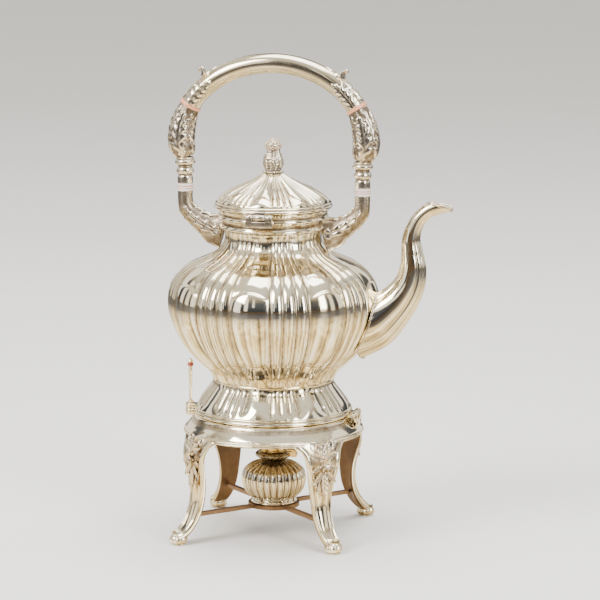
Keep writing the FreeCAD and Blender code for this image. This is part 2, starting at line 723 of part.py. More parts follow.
def lid_parts():
    return {
        "lid_rim": lid_rim(),
        "lid_flange": lid_flange(),
        "lid_dome": lid_dome(),
        "finial_base": finial_base(),
        "finial": finial(),
        "finial_screw": finial_screw(),
        "finial_washer": finial_washer(),
        "finial_nut": finial_nut(),
        "lid_hinge_leaf": lid_hinge_leaf(),
        "collar_hinge_leaf": collar_hinge_leaf(),
        "lid_hinge_pin": lid_hinge_pin(),
    }


def stand_parts():
    parts = {
        "stand_ring": stand_ring(),
        "burner_seat_ring": seat_ring(),
        "seat_brackets": Part.makeCompound([around(seat_bracket(), i) for i in range(LEG_COUNT)]),
        "bracket_rivets": Part.makeCompound([around(bracket_rivet(), i) for i in range(LEG_COUNT)]),
        "tilt_knuckle_pot": tilt_knuckle_pot(),
        "tilt_knuckle_stand": tilt_knuckle_stand(),
        "tilt_hinge_pin": tilt_pin(),
        "rear_lug_pot": rear_lug_pot(),
        "rear_lug_stand": rear_lug_stand(),
        "locating_pin": locating_pin(),
        "pin_bead": pin_bead(),
        "pin_knob": pin_knob(),
    }
    plain_leg, pad = leg(), foot_pad()
    for i in range(LEG_COUNT):
        parts[f"leg_{i + 1}"] = around(plain_leg, i)
        parts[f"foot_pad_{i + 1}"] = around(pad, i)
    return parts


def burner_parts():
    return {
        "burner_foot": burner_foot(),
        "burner_bowl": burner_bowl(),
        "burner_collar": burner_collar(),
        "wick_tube": wick_tube(),
        "wick": wick(),
        "snuffer_cap": snuffer_cap(),
        "snuffer_button": snuffer_button(),
        "snuffer_strap": snuffer_strap(),
        "snuffer_bracket": snuffer_bracket(),
        "snuffer_pin": snuffer_pin(),
    }


def main():
    os.makedirs("parts", exist_ok=True)
    parts = {**vessel_parts(), **handle_parts(), **lid_parts(), **stand_parts(), **burner_parts()}
    for name, shape in parts.items():
        shape.exportStep(f"parts/{name}.step")
        solids = len(shape.Solids)
        print(f"{name}: {solids} solid(s), valid {shape.isValid()}, {shape.Volume:.1f} mm3")
    print(f"{len(parts)} nodes")


main()
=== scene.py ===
"""Silver kettle pot on a lamp stand: the looks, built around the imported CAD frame.

Shapes are worked out in millimetres, in the frame's own axes, and turned into metres when a mesh is made.
"""
import math

import bmesh
import bpy
import numpy as np
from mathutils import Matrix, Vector

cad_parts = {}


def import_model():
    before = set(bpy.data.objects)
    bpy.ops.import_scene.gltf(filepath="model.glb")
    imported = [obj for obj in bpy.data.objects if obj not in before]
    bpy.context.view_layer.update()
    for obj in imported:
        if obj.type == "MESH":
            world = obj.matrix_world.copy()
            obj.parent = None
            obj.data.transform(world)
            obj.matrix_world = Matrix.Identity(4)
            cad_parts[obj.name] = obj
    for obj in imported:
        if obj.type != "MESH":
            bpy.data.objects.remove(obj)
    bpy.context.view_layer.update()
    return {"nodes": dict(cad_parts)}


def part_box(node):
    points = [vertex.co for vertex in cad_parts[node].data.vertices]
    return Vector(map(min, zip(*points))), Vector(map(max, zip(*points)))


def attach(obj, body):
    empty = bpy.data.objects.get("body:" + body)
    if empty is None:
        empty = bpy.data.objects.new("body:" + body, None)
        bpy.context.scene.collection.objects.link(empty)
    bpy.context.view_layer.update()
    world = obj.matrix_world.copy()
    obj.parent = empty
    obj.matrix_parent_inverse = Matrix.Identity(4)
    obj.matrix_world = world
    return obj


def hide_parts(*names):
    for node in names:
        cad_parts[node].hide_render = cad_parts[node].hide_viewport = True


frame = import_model()

MM = 0.001
TAU = 2 * math.pi
GOLDEN_ANGLE = math.pi * (3 - math.sqrt(5))


# ---- Geometry helpers ----

def node_box(node):
    """A CAD node's lowest and highest corners, in millimetres."""
    low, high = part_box(node)
    return np.array(low) / MM, np.array(high) / MM


def smooth(points, count):
    """A Catmull-Rom curve through the points, sampled evenly along its length."""
    points = np.array(points, float)
    steps = np.linalg.norm(np.diff(points[:, :2], axis=0), axis=1)
    at = np.concatenate([[0], np.cumsum(np.maximum(steps, 1e-6))])
    slope = np.gradient(points, at, axis=0)
    want = np.linspace(0, at[-1], count)
    i = np.clip(np.searchsorted(at, want, side="right") - 1, 0, len(at) - 2)
    span = (at[i + 1] - at[i])[:, None]
    t = (want - at[i])[:, None] / span
    h00, h10 = 2 * t**3 - 3 * t**2 + 1, t**3 - 2 * t**2 + t
    h01, h11 = -2 * t**3 + 3 * t**2, t**3 - t**2
    return h00 * points[i] + h10 * span * slope[i] + h01 * points[i + 1] + h11 * span * slope[i + 1]


def rounded(outline, rounds=2):
    """A closed outline with its corners cut back and softened."""
    points = np.array(outline, float)
    for _ in range(rounds):
        ahead = np.roll(points, -1, axis=0)
        points = np.stack([points * 0.8 + ahead * 0.2, points * 0.2 + ahead * 0.8], axis=1).reshape(-1, 2)
    return points


def headings(line):
    """The unit direction of a line at each of its points."""
    slope = np.gradient(line, axis=0)
    return slope / np.linalg.norm(slope, axis=1)[:, None]


def normals(line):
    """The unit normals, on the left, of a line whose first two columns lie in a plane."""
    ahead = headings(line[:, :2])
    return np.stack([-ahead[:, 1], ahead[:, 0]], axis=1)


def wrapped(angle):
    """An angle brought between -pi and pi."""
    return (angle + math.pi) % TAU - math.pi


def fade(value, low, high):
    """0 below low and 1 above high, with a smooth rise between."""
    t = np.clip((value - low) / (high - low), 0, 1)
    return t * t * (3 - 2 * t)


def round_axis(radius, angle, height):
    """Points at a radius and an angle round the Z axis, and at a height."""
    x, y, z = np.broadcast_arrays(radius * np.cos(angle), radius * np.sin(angle), height)
    return np.stack([x, y, z], axis=-1)


class Shape:
    """The points, in millimetres, and the faces of one mesh."""

    def __init__(self):
        self.verts, self.faces = [], []

    def grid(self, points, along=False, capped=False):
        """Adds a grid that closes round its columns. along closes its rows too; capped fills both ends."""
        rows, cols = points.shape[:2]
        base = len(self.verts)
        self.verts.extend(points.reshape(-1, 3).tolist())
        i, j = np.meshgrid(np.arange(rows if along else rows - 1), np.arange(cols), indexing="ij")
        i2, j2 = (i + 1) % rows, (j + 1) % cols
        quads = np.stack([i * cols + j, i * cols + j2, i2 * cols + j2, i2 * cols + j], axis=-1).reshape(-1, 4)
        self.faces.extend((quads + base).tolist())
        for row in (0, rows - 1) if capped else ():
            self.faces.append([base + row * cols + j for j in range(cols)])

    def piece(self, name, materials, body, replaces=(), slot="silver", tarnish=0.0):
        """A mesh object riding on a body and standing for CAD nodes. tarnish is one value or one per point."""
        mesh = bpy.data.meshes.new(name)
        mesh.from_pydata((np.array(self.verts, float) * MM).tolist(), [], self.faces)
        mesh.validate()
        layer = mesh.attributes.new("tarnish", "FLOAT", "POINT")
        values = np.ones(len(self.verts)) * np.ravel(tarnish)
        layer.data.foreach_set("value", values.astype(np.float32))
        shaped = bmesh.new()
        shaped.from_mesh(mesh)
        bmesh.ops.recalc_face_normals(shaped, faces=shaped.faces)
        shaped.to_mesh(mesh)
        shaped.free()
        mesh.shade_smooth()
        for material in materials if isinstance(materials, list) else [materials]:
            mesh.materials.append(material)
        item = bpy.data.objects.new(name, mesh)
        bpy.context.scene.collection.objects.link(item)
        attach(item, body)
        if replaces:
            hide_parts(*replaces)
        return item


def turned(name, outline, material, body, replaces=(), slot="silver", base=0.0, centre=(0.0, 0.0),
           segments=144, rounds=2, gadroons=0, gadroon_depth=0.0):
    """A turned ring or knob from a closed outline of radius and height above base, with optional gadroons."""
    loop = rounded(outline, rounds) + [0.0, base]
    angle = np.arange(segments) * TAU / segments
    radius = loop[:, 0][:, None] * np.ones(segments)
    if gadroons:
        radius = radius * (1 - gadroon_depth * np.abs(np.sin(angle * gadroons / 2)) ** 0.7)
    shape = Shape()
    shape.grid(round_axis(radius, angle, loop[:, 1][:, None]) + [*centre, 0.0], along=True)
    near = sum(np.roll(loop[:, 0], k) for k in (-6, -4, -2, 2, 4, 6)) / 6
    dirt = np.clip((near - loop[:, 0]) / 0.30 - 0.15, 0, 1)
    shape.piece(name, material, body, replaces, slot, dirt[:, None] * np.ones(segments))


# ---- The lobed pattern: eight wide lobes, with three narrow reeds between each pair ----
UNITS = 8
WIDE = math.radians(23.4)
REEDS = 3
REED = (TAU / UNITS - WIDE) / REEDS
WIDE_STEPS, REED_STEPS = 20, 9
REED_LOW = 0.42            # how far a reed's crest lies below a wide lobe's, as a share of the groove's depth


def lobe_pattern():
    """The angles round the pot, each with its share of the groove's depth and its place across a lobe."""
    angles, depth, across = [], [], []
    for unit in range(UNITS):
        start = -math.pi / 2 + unit * TAU / UNITS - WIDE / 2
        for step in range(WIDE_STEPS):
            u = 2 * step / WIDE_STEPS - 1
            angles.append(start + WIDE * step / WIDE_STEPS)
            depth.append(u * u)
            across.append(u)
        for reed in range(REEDS):
            for step in range(REED_STEPS):
                u = 2 * step / REED_STEPS - 1
                angles.append(start + WIDE + REED * (reed + step / REED_STEPS))
                depth.append(REED_LOW + (1 - REED_LOW) * u * u)
                across.append(9.0)
    return np.array(angles), np.array(depth), np.array(across)


ANGLES, GROOVE, ACROSS = lobe_pattern()


def lobed_wall(profile, groove_depth, wall, step=None):
    """The outer and inner faces of a lobed sheet of metal, as a grid, with its tarnish.

    profile is rows of (radius, height) and groove_depth is one depth for each row. step is a function of
    the height and the place across a wide lobe, giving how far the metal is set back there.
    """
    radius, height = profile[:, :1], profile[:, 1:]
    back = groove_depth[:, None] * GROOVE
    if step is not None:
        back = back + step(height, ACROSS)
    lean_r, lean_z = np.split(headings(profile), 2, axis=1)
    outer_r = radius - back * np.abs(lean_z)
    outer_z = height + back * lean_r
    inner_r = outer_r - wall * lean_z
    inner_z = outer_z + wall * lean_r
    grid = np.concatenate([round_axis(np.maximum(outer_r, 0.05), ANGLES, outer_z),
                           round_axis(np.maximum(inner_r, 0.05), ANGLES, inner_z)[::-1]])
    sunk = np.clip((GROOVE - REED_LOW) / (1 - REED_LOW), 0, 1) ** 2
    dirt = sunk * np.clip(groove_depth / 1.6, 0, 1)[:, None]
    return grid, np.concatenate([dirt, dirt[::-1] * 0.6 + 0.25])


# ---- Materials ----

class Nodes:
    """A small helper for building a node tree."""

    def __init__(self, tree):
        self.tree = tree

    def feed(self, socket, value):
        """Links another node's output into a socket, or sets the socket to a number or a colour."""
        if isinstance(value, bpy.types.NodeSocket):
            self.tree.links.new(value, socket)
        else:
            socket.default_value = (*value, 1) if socket.type == "RGBA" else value

    def add(self, kind, **settings):
        node = self.tree.nodes.new("ShaderNode" + kind)
        for key, value in settings.items():
            if key in node.inputs:
                self.feed(node.inputs[key], value)
            else:
                setattr(node, key, value)
        return node

    def ramp(self, source, stops):
        node = self.add("ValToRGB", Fac=source)
        while len(node.color_ramp.elements) < len(stops):
            node.color_ramp.elements.new(0.5)
        for element, (at, colour) in zip(node.color_ramp.elements, stops):
            element.position, element.color = at, (*colour, 1)
        return node.outputs["Color"]

    def spread(self, source, low, high, from_low=0.0, from_high=1.0, kind="LINEAR"):
        span = {"From Min": from_low, "From Max": from_high, "To Min": low, "To Max": high}
        return self.add("MapRange", interpolation_type=kind, Value=source, **span).outputs["Result"]

    def mix(self, share, below, above):
        node = self.add("Mix", data_type="RGBA")
        for index, value in ((0, share), (6, below), (7, above)):
            self.feed(node.inputs[index], value)
        return node.outputs[2]

    def maths(self, operation, *values):
        node = self.add("Math", operation=operation)
        for socket, value in zip(node.inputs, values):
            self.feed(socket, value)
        return node.outputs[0]


class Paint(Nodes):
    """The node tree of a new material."""

    def __init__(self, name):
        self.material = bpy.data.materials.new(name)
        self.material.use_nodes = True
        super().__init__(self.material.node_tree)
        self.shader = self.tree.nodes["Principled BSDF"]
        self.place = self.add("TexCoord").outputs["Object"]

    def put(self, socket, value):
        self.feed(self.shader.inputs[socket], value)

    def groove(self):
        return self.add("Attribute", attribute_name="tarnish").outputs["Fac"]

    def noise(self, scale, detail=4.0, roughness=0.55, distortion=0.0, stretch=None, source=None):
        source = source or self.place
        if stretch:
            source = self.add("Mapping", Scale=stretch, Vector=source).outputs["Vector"]
        return self.add("TexNoise", Scale=scale, Detail=detail, Roughness=roughness, Distortion=distortion,
                        Vector=source).outputs["Fac"]

    def bands(self, direction, scale, distortion):
        return self.add("TexWave", wave_type="BANDS", bands_direction=direction, Scale=scale,
                        Distortion=distortion, Vector=self.place).outputs["Fac"]

    def bump(self, source, distance, strength=1.0, onto=None):
        node = self.add("Bump", Strength=strength, Distance=distance, Height=source)
        if onto is not None:
            self.feed(node.inputs["Normal"], onto)
        self.put("Normal", node.outputs["Normal"])
        return node.outputs["Normal"]


def silver_material(name, bright, warm, dirt, rough_low, rough_high, metallic=1.0, ripple=0.0005):
    """Polished silver: cloudy warmth, tarnish in the grooves, fine wiping marks and a hammered ripple."""
    n = Paint(name)
    cloud = n.noise(26, 5, 0.6, 0.4)
    tint = n.ramp(cloud, [(0.30, bright), (0.72, warm)])
    stain = n.maths("MULTIPLY", n.groove(), n.spread(n.noise(240, 6, 0.65), 0.55, 1.0, 0.35, 0.65))
    spots = n.spread(n.noise(75, 8, 0.7, 0.6), 0.0, 0.38, 0.58, 0.75)
    n.put("Base Color", n.mix(n.maths("MAXIMUM", stain, spots), tint, dirt))
    n.put("Metallic", metallic)
    wiped = n.noise(420, 3, 0.6, 0.0, (1.0, 1.0, 0.14))
    wear = n.maths("ADD", n.maths("MULTIPLY", wiped, 0.5), n.maths("MULTIPLY", cloud, 0.5))
    rough = n.spread(wear, rough_low, rough_high, 0.35, 0.65)
    n.put("Roughness", n.maths("ADD", rough, n.maths("MULTIPLY", stain, 0.25)))
    soft = n.bump(n.noise(38, 2, 0.4), ripple, 0.5)
    n.bump(n.noise(900, 4, 0.6, 0.0, (1.0, 1.0, 0.3)), 0.00002, 0.5, soft)
    return n.material


SILVER = silver_material("silver_polished", (0.96, 0.90, 0.745), (0.91, 0.77, 0.49), (0.17, 0.095, 0.03),
                         0.05, 0.13)
SILVER_CHASED = silver_material("silver_chased", (0.90, 0.83, 0.70), (0.80, 0.66, 0.48),
                                (0.10, 0.06, 0.03), 0.12, 0.25)
SILVER_INSIDE = silver_material("silver_inside", (0.80, 0.74, 0.62), (0.66, 0.52, 0.34),
                                (0.20, 0.13, 0.07), 0.24, 0.40)
BURNT = silver_material("silver_burnt", (0.20, 0.12, 0.07), (0.36, 0.22, 0.12), (0.05, 0.03, 0.02), 0.30,
                        0.55, metallic=0.85, ripple=0.001)
SMOKED = silver_material("silver_smoked", (0.42, 0.36, 0.27), (0.26, 0.21, 0.14), (0.06, 0.045, 0.03),
                         0.16, 0.34)
GILT = silver_material("gilt", (0.90, 0.68, 0.30), (0.76, 0.52, 0.19), (0.30, 0.18, 0.06), 0.12, 0.30)


def bone_material(name, pale, deep, line):
    """A polished insulating ring, with fine turning lines and stained edges."""
    n = Paint(name)
    grain = n.noise(260, 5, 0.6, 0.3, (1.0, 1.0, 3.5))
    bands = n.bands("Z", 190.0, 1.2)
    share = n.maths("MAXIMUM", n.spread(bands, 0.0, 0.35, 0.75, 1.0),
                    n.spread(n.groove(), 0.0, 0.9, 0.1, 0.6))
    n.put("Base Color", n.mix(share, n.ramp(grain, [(0.32, pale), (0.70, deep)]), line))
    n.put("Subsurface Weight", 0.25)
    n.put("Subsurface Radius", (0.002, 0.0012, 0.0008))
    n.put("Coat Weight", 0.35)
    n.put("Roughness", n.spread(grain, 0.25, 0.42))
    n.bump(bands, 0.00008, 0.6)
    return n.material


IVORY = bone_material("insulator_ivory", (0.90, 0.84, 0.80), (0.82, 0.70, 0.65), (0.62, 0.27, 0.24))
AMBER = bone_material("insulator_amber", (0.88, 0.42, 0.24), (0.76, 0.30, 0.15), (0.50, 0.18, 0.10))
RED = bone_material("bead_red", (0.52, 0.07, 0.05), (0.34, 0.035, 0.03), (0.20, 0.02, 0.02))


def cotton_material():
    """The woven wick."""
    n = Paint("wick_cotton")
    weave = n.bands("DIAGONAL", 420.0, 2.0)
    n.put("Base Color", n.ramp(weave, [(0.2, (0.42, 0.36, 0.28)), (0.8, (0.82, 0.78, 0.70))]))
    n.put("Roughness", 0.9)
    n.bump(weave, 0.0004, 0.9)
    return n.material


COTTON = cotton_material()

# ---- Driving dimensions of the pot, shared with the CAD ----
WALL = 1.2
WAIST_Z = node_box("kettle_body")[0][2]
NECK_TOP = node_box("kettle_body")[1][2]
BODY_R = node_box("kettle_body")[1][1] - 0.1
BODY_PROFILE = [(49.0, WAIST_Z), (53.5, 134.5), (61.6, 141.6), (70.0, 150.0), (76.0, 158.5), (81.7, 169.6),
                (85.5, 180.0), (BODY_R, 190.0), (86.3, 198.5), (83.4, 207.0), (77.5, 215.5), (69.3, 222.0),
                (60.5, 226.0), (51.5, 230.0), (45.0, 234.5), (41.0, 239.5), (39.6, 244.5), (40.4, NECK_TOP)]
BODY_ROWS = 170
SHOULDER_Z = 206.0


def shoulder_step(height, across):
    """Above the shoulder each wide lobe is a sunk panel with an arched foot."""
    inside = np.clip(1 - (np.abs(across) / 0.86) ** 6, 0, 1)
    arch = SHOULDER_Z + 4.5 - 6.0 * np.clip(np.abs(across), 0, 1) ** 2
    return 1.5 * inside * fade(height, arch - 1.2, arch + 1.2) * fade(-height, -NECK_TOP, -NECK_TOP + 14)


def body_radius(z):
    profile = smooth(BODY_PROFILE, 400)
    return np.interp(z, profile[:, 1], profile[:, 0])


SPOUT_HOLE = (0.0, 174.0, 12.6)     # y, z and radius of the opening behind the spout


def kettle_body():
    profile = smooth(BODY_PROFILE, BODY_ROWS)
    depth = 3.3 * (profile[:, 0] / BODY_R) ** 0.8
    depth *= 0.35 + 0.65 * fade(profile[:, 1], WAIST_Z, WAIST_Z + 9)
    depth *= 0.30 + 0.70 * fade(-profile[:, 1], -NECK_TOP, -NECK_TOP + 8)
    grid, dirt = lobed_wall(profile, depth, WALL, shoulder_step)
    shape = Shape()
    shape.grid(grid, along=True)
    middle = np.array(shape.verts)[np.array(shape.faces)].mean(axis=1)
    y, z, radius = SPOUT_HOLE
    behind_spout = (middle[:, 0] > 0) & (np.hypot(middle[:, 1] - y, middle[:, 2] - z) < radius)
    shape.faces = [face for face, hidden in zip(shape.faces, behind_spout) if not hidden]
    shape.piece("body_lobed", SILVER, "kettle", ["kettle_body"], tarnish=dirt)


def kettle_floor():
    """The flat round floor that closes the body at its waist."""
    turned("body_floor", [(0.0, 0.0), (47.6, 0.0), (47.9, 1.2), (30.0, 1.25), (0.0, 1.5)], SILVER_INSIDE,
           "kettle", base=WAIST_Z + WALL - 1.2, rounds=1)


def foot_skirt():
    low, high = node_box("foot_skirt")
    profile = smooth([(62.8, low[2]), (61.4, 108.0), (59.0, 112.2), (55.8, 116.6), (52.4, 121.0),
                      (49.6, 125.0), (49.0, high[2])], 60)
    depth = 2.1 * fade(profile[:, 1], low[2] - 1.0, low[2] + 7)
    depth *= 0.45 + 0.55 * fade(-profile[:, 1], -high[2], -high[2] + 5)
    grid, dirt = lobed_wall(profile, depth, WALL)
    shape = Shape()
    shape.grid(grid, along=True)
    shape.piece("foot_lobed", SILVER, "kettle", ["foot_skirt"], tarnish=dirt)


def waist_band():
    """The fine bead where the foot is soldered to the body."""
    turned("waist_bead", [(47.2, -1.1), (48.6, -1.1), (49.4, -0.5), (49.6, 0.0), (49.4, 0.5), (48.6, 1.1),
                          (47.2, 1.1)], SILVER, "kettle", base=WAIST_Z)


def foot_rim():
    base = node_box("foot_rim")[0][2]
    turned("foot_moulding", [(58.2, 0.0), (63.2, 0.0), (64.15, 0.7), (64.2, 1.5), (63.9, 2.3),
                             (63.2, 2.8), (63.0, 3.3), (63.6, 3.9), (63.4, 4.6), (62.6, 5.3), (61.0, 5.3),
                             (60.4, 3.2), (58.2, 2.0)], SILVER, "kettle", ["foot_rim"], base=base,
           segments=192)


def neck_collar():
    low, high = node_box("neck_collar")
    top = high[2] - low[2]
    turned("collar_moulding", [(39.1, 0.0), (41.6, 0.0), (42.9, 0.8), (43.3, 2.2), (42.6, 3.4),
                               (42.1, 4.2), (42.2, 6.2), (42.9, 8.2), (43.9, 8.8), (44.3, 9.9),
                               (43.9, 11.0), (43.4, 11.6), (43.6, 13.6), (44.2, top - 1.6),
                               (44.9, top - 0.9), (44.6, top), (41.8, top), (41.8, 4.8), (40.2, 1.4)],
           SILVER, "kettle", ["neck_collar"], base=low[2], segments=192)


# ---- The spout ----
# Centre x, centre z, half height in the plane of the spout, half width along Y.
SPOUT_LINE = [(66.0, 172.0, 28.0, 22.0), (84.5, 177.6, 22.6, 17.6), (96.0, 186.6, 18.4, 14.8),
              (105.4, 197.0, 15.3, 12.8), (111.9, 208.4, 13.1, 11.4), (114.6, 221.0, 11.3, 10.2),
              (113.9, 233.5, 9.1, 9.0), (113.2, 245.0, 7.5, 8.0), (115.6, 254.6, 6.5, 7.1),
              (119.8, 262.0, 6.0, 6.4), (126.2, 268.0, 5.9, 5.9), (136.0, 271.8, 5.9, 5.4),
              (144.4, 273.4, 5.2, 4.4)]
MOUTH_BACK = np.array([121.6, 275.0])
MOUTH_TIP = np.array([143.6, 271.6])
SPOUT_COLS = 128
SPOUT_ROWS = 190
TOP_REEDS, SIDE_PETAL, UNDER_REEDS = 3, math.radians(82), 5
TOP_HALF = math.radians(40)


def spout_flutes(theta):
    """How deep the metal lies at an angle round the spout: 0 on a crest and 1 in a groove. 0 is the top."""
    turn = abs(wrapped(theta))
    if turn < TOP_HALF:
        place = (turn + TOP_HALF) / (2 * TOP_HALF) * TOP_REEDS
        u = 2 * (place % 1.0) - 1
        return 0.30 + 0.70 * u * u
    if turn < TOP_HALF + SIDE_PETAL:
        u = 2 * (turn - TOP_HALF) / SIDE_PETAL - 1
        return abs(u) ** 3.0
    under = math.pi - TOP_HALF - SIDE_PETAL
    place = ((math.pi - turn) / under * UNDER_REEDS / 2 + 0.5) % 1.0
    u = 2 * place - 1
    return 0.30 + 0.70 * u * u


def spout_grid(inset):
    """The spout's skin as a grid: every line along it starts at the body's wall and ends at the mouth."""
    line = smooth(SPOUT_LINE, 700)
    normal = normals(line)
    along = np.linspace(0, 1, len(line))
    index = np.arange(len(line))
    mouth = MOUTH_TIP - MOUTH_BACK
    mouth_normal = np.array([-mouth[1], mouth[0]]) / np.linalg.norm(mouth)
    columns, dirt = [], []
    for column in range(SPOUT_COLS):
        theta = TAU * column / SPOUT_COLS
        groove = spout_flutes(theta)
        depth = groove * (0.085 * line[:, 3] + 0.35) * (0.25 + 0.75 * fade(-along, -0.80, -0.42))
        half, half_y = line[:, 2] - inset - depth, line[:, 3] - inset - depth
        x = line[:, 0] + normal[:, 0] * half * math.cos(theta)
        z = line[:, 1] + normal[:, 1] * half * math.cos(theta)
        y = half_y * math.sin(theta)
        wall_gap = np.hypot(x, y) - (body_radius(z) - 1.6)
        below_mouth = -((x - MOUTH_BACK[0]) * mouth_normal[0] + (z - MOUTH_BACK[1]) * mouth_normal[1])
        start = int(np.argmax(wall_gap > 0))
        past = np.nonzero((below_mouth < 0) & (along > 0.6))[0]
        end = int(past[0]) if len(past) else len(line) - 1
        at = np.linspace(start, end, SPOUT_ROWS)
        columns.append(np.stack([np.interp(at, index, values) for values in (x, y, z)], axis=1))
        dirt.append(np.clip((groove - 0.6) / 0.4, 0, 1) ** 2 * (1 - 0.5 * np.linspace(0, 1, SPOUT_ROWS)))
    return np.stack(columns, axis=1), np.stack(dirt, axis=1)


def spout():
    outer, dirt = spout_grid(0.0)
    inner, _ = spout_grid(1.1)
    lip = (outer[-1] + inner[-1]) / 2 + np.array([0.0, 0.0, 0.35])
    grid = np.concatenate([outer, lip[None], inner[::-1]])
    shade = np.concatenate([dirt, np.zeros((1, SPOUT_COLS)), np.full_like(dirt, 0.5)])
    shape = Shape()
    shape.grid(grid, along=True)
    shape.piece("spout_fluted", SILVER, "kettle", ["spout"], tarnish=shade)
    rolled_edge("spout_lip_roll", (outer[-1] + inner[-1]) / 2, 1.15, 8)
    rolled_edge("spout_root_roll", outer[3], 0.75, 22)


def rolled_edge(name, edge, radius, notches):
    """A rolled and notched wire soldered along a closed edge of the spout."""
    size = radius * (1 + 0.22 * np.cos(np.arange(len(edge)) * TAU * notches / len(edge)))[:, None, None]
    middle = sum(np.roll(edge, k, axis=0) for k in (-1, 0, 1)) / 3
    ahead = np.roll(middle, -1, axis=0) - np.roll(middle, 1, axis=0)
    ahead /= np.maximum(np.linalg.norm(ahead, axis=1), 1e-6)[:, None]
    side = np.cross(ahead, [0.0, 0.0, 1.0])
    side /= np.maximum(np.linalg.norm(side, axis=1), 1e-6)[:, None]
    other = np.cross(ahead, side)
    turn = (np.arange(10) * TAU / 10)[:, None]
    shape = Shape()
    shape.grid(middle[:, None] + size * (side[:, None] * np.cos(turn) + other[:, None] * np.sin(turn)),
               along=True)
    shape.piece(name, SILVER_CHASED, "kettle", tarnish=0.35)


# ---- Chased leaf work ----

def leaf_height(u, v, lobes=5):
    """The relief of a chased acanthus leaf. u runs from its foot to its tip and v from -1 to 1 across."""
    u = np.clip(u, 0, 1)
    side = np.abs(v)
    width = np.sin(np.pi * np.clip(u, 0.02, 0.98) ** 0.75) ** 0.7
    width = width * (0.82 + 0.18 * np.cos(TAU * (lobes * u - 0.9 * side)))
    inside = fade(width - side, 0.0, 0.16)
    crown = np.sqrt(np.clip(1 - (side / np.maximum(width, 0.05)) ** 2, 0, 1))
    veins = 0.5 + 0.5 * np.cos(TAU * (lobes * u - 1.1 * side))
    rib = np.exp(-(side / 0.07) ** 2)
    return inside * (0.35 + 0.45 * crown + 0.30 * veins * fade(side, 0.05, 0.25) - 0.25 * rib)


def sweep_grid(line, cols, relief=None):
    """Points round a tube whose centre line lies in the XZ plane.

    line has rows of x, z, half the tube's size in that plane, and half its size along Y.
    """
    normal = normals(line)
    theta = np.arange(cols) * TAU / cols
    along = np.linspace(0, 1, len(line))[:, None]
    rise = relief(along, theta[None, :]) if relief else np.zeros((len(line), cols))
    out = (line[:, 2:3] + rise) * np.cos(theta)
    y = (line[:, 3:4] + rise) * np.sin(theta)
    return np.stack([line[:, :1] + normal[:, :1] * out, y, line[:, 1:2] + normal[:, 1:] * out], axis=-1), rise


def swept(name, line, material, body, replaces=(), slot="silver", cols=72, rows=80, relief=None,
          mirrored=False, depth_of_dirt=0.0):
    """A closed tube along a line in the XZ plane, with its ends capped."""
    grid, rise = sweep_grid(smooth(line, rows), cols, relief)
    if mirrored:
        grid = grid * MIRROR
    shape = Shape()
    shape.grid(grid)
    for row in (0, rows - 1):
        shape.verts.append(grid[row].mean(axis=0).tolist())
        ring = [row * cols + j for j in range(cols)]
        shape.faces += [(ring[j], ring[(j + 1) % cols], len(shape.verts) - 1) for j in range(cols)]
    sunk = 1.25 - (rise - rise.min()) / max(rise.max() - rise.min(), 1e-6) * 1.9
    dirt = np.concatenate([(depth_of_dirt * np.clip(sunk, 0, 1)).ravel(), [0, 0]])
    shape.piece(name, material, body, replaces, slot, dirt)


MIRROR = np.array([-1, 1, 1])
POST_X = (node_box("lower_insulator_front")[0][0] + node_box("lower_insulator_front")[1][0]) / 2
LOW_DISC = (278.5, 284.5)
FERRULE_TOP = node_box("handle_ferrule_front")[1][2]
ARCH_Z, ARCH_A, ARCH_B = 320.0, 76.3, 63.0
BAND_ANGLE, BAND_GAP = 26.5, 1.1


def arch(degrees, half):
    turn = math.radians(degrees)
    return (ARCH_A * math.cos(turn), ARCH_Z + ARCH_B * math.sin(turn), half, half)


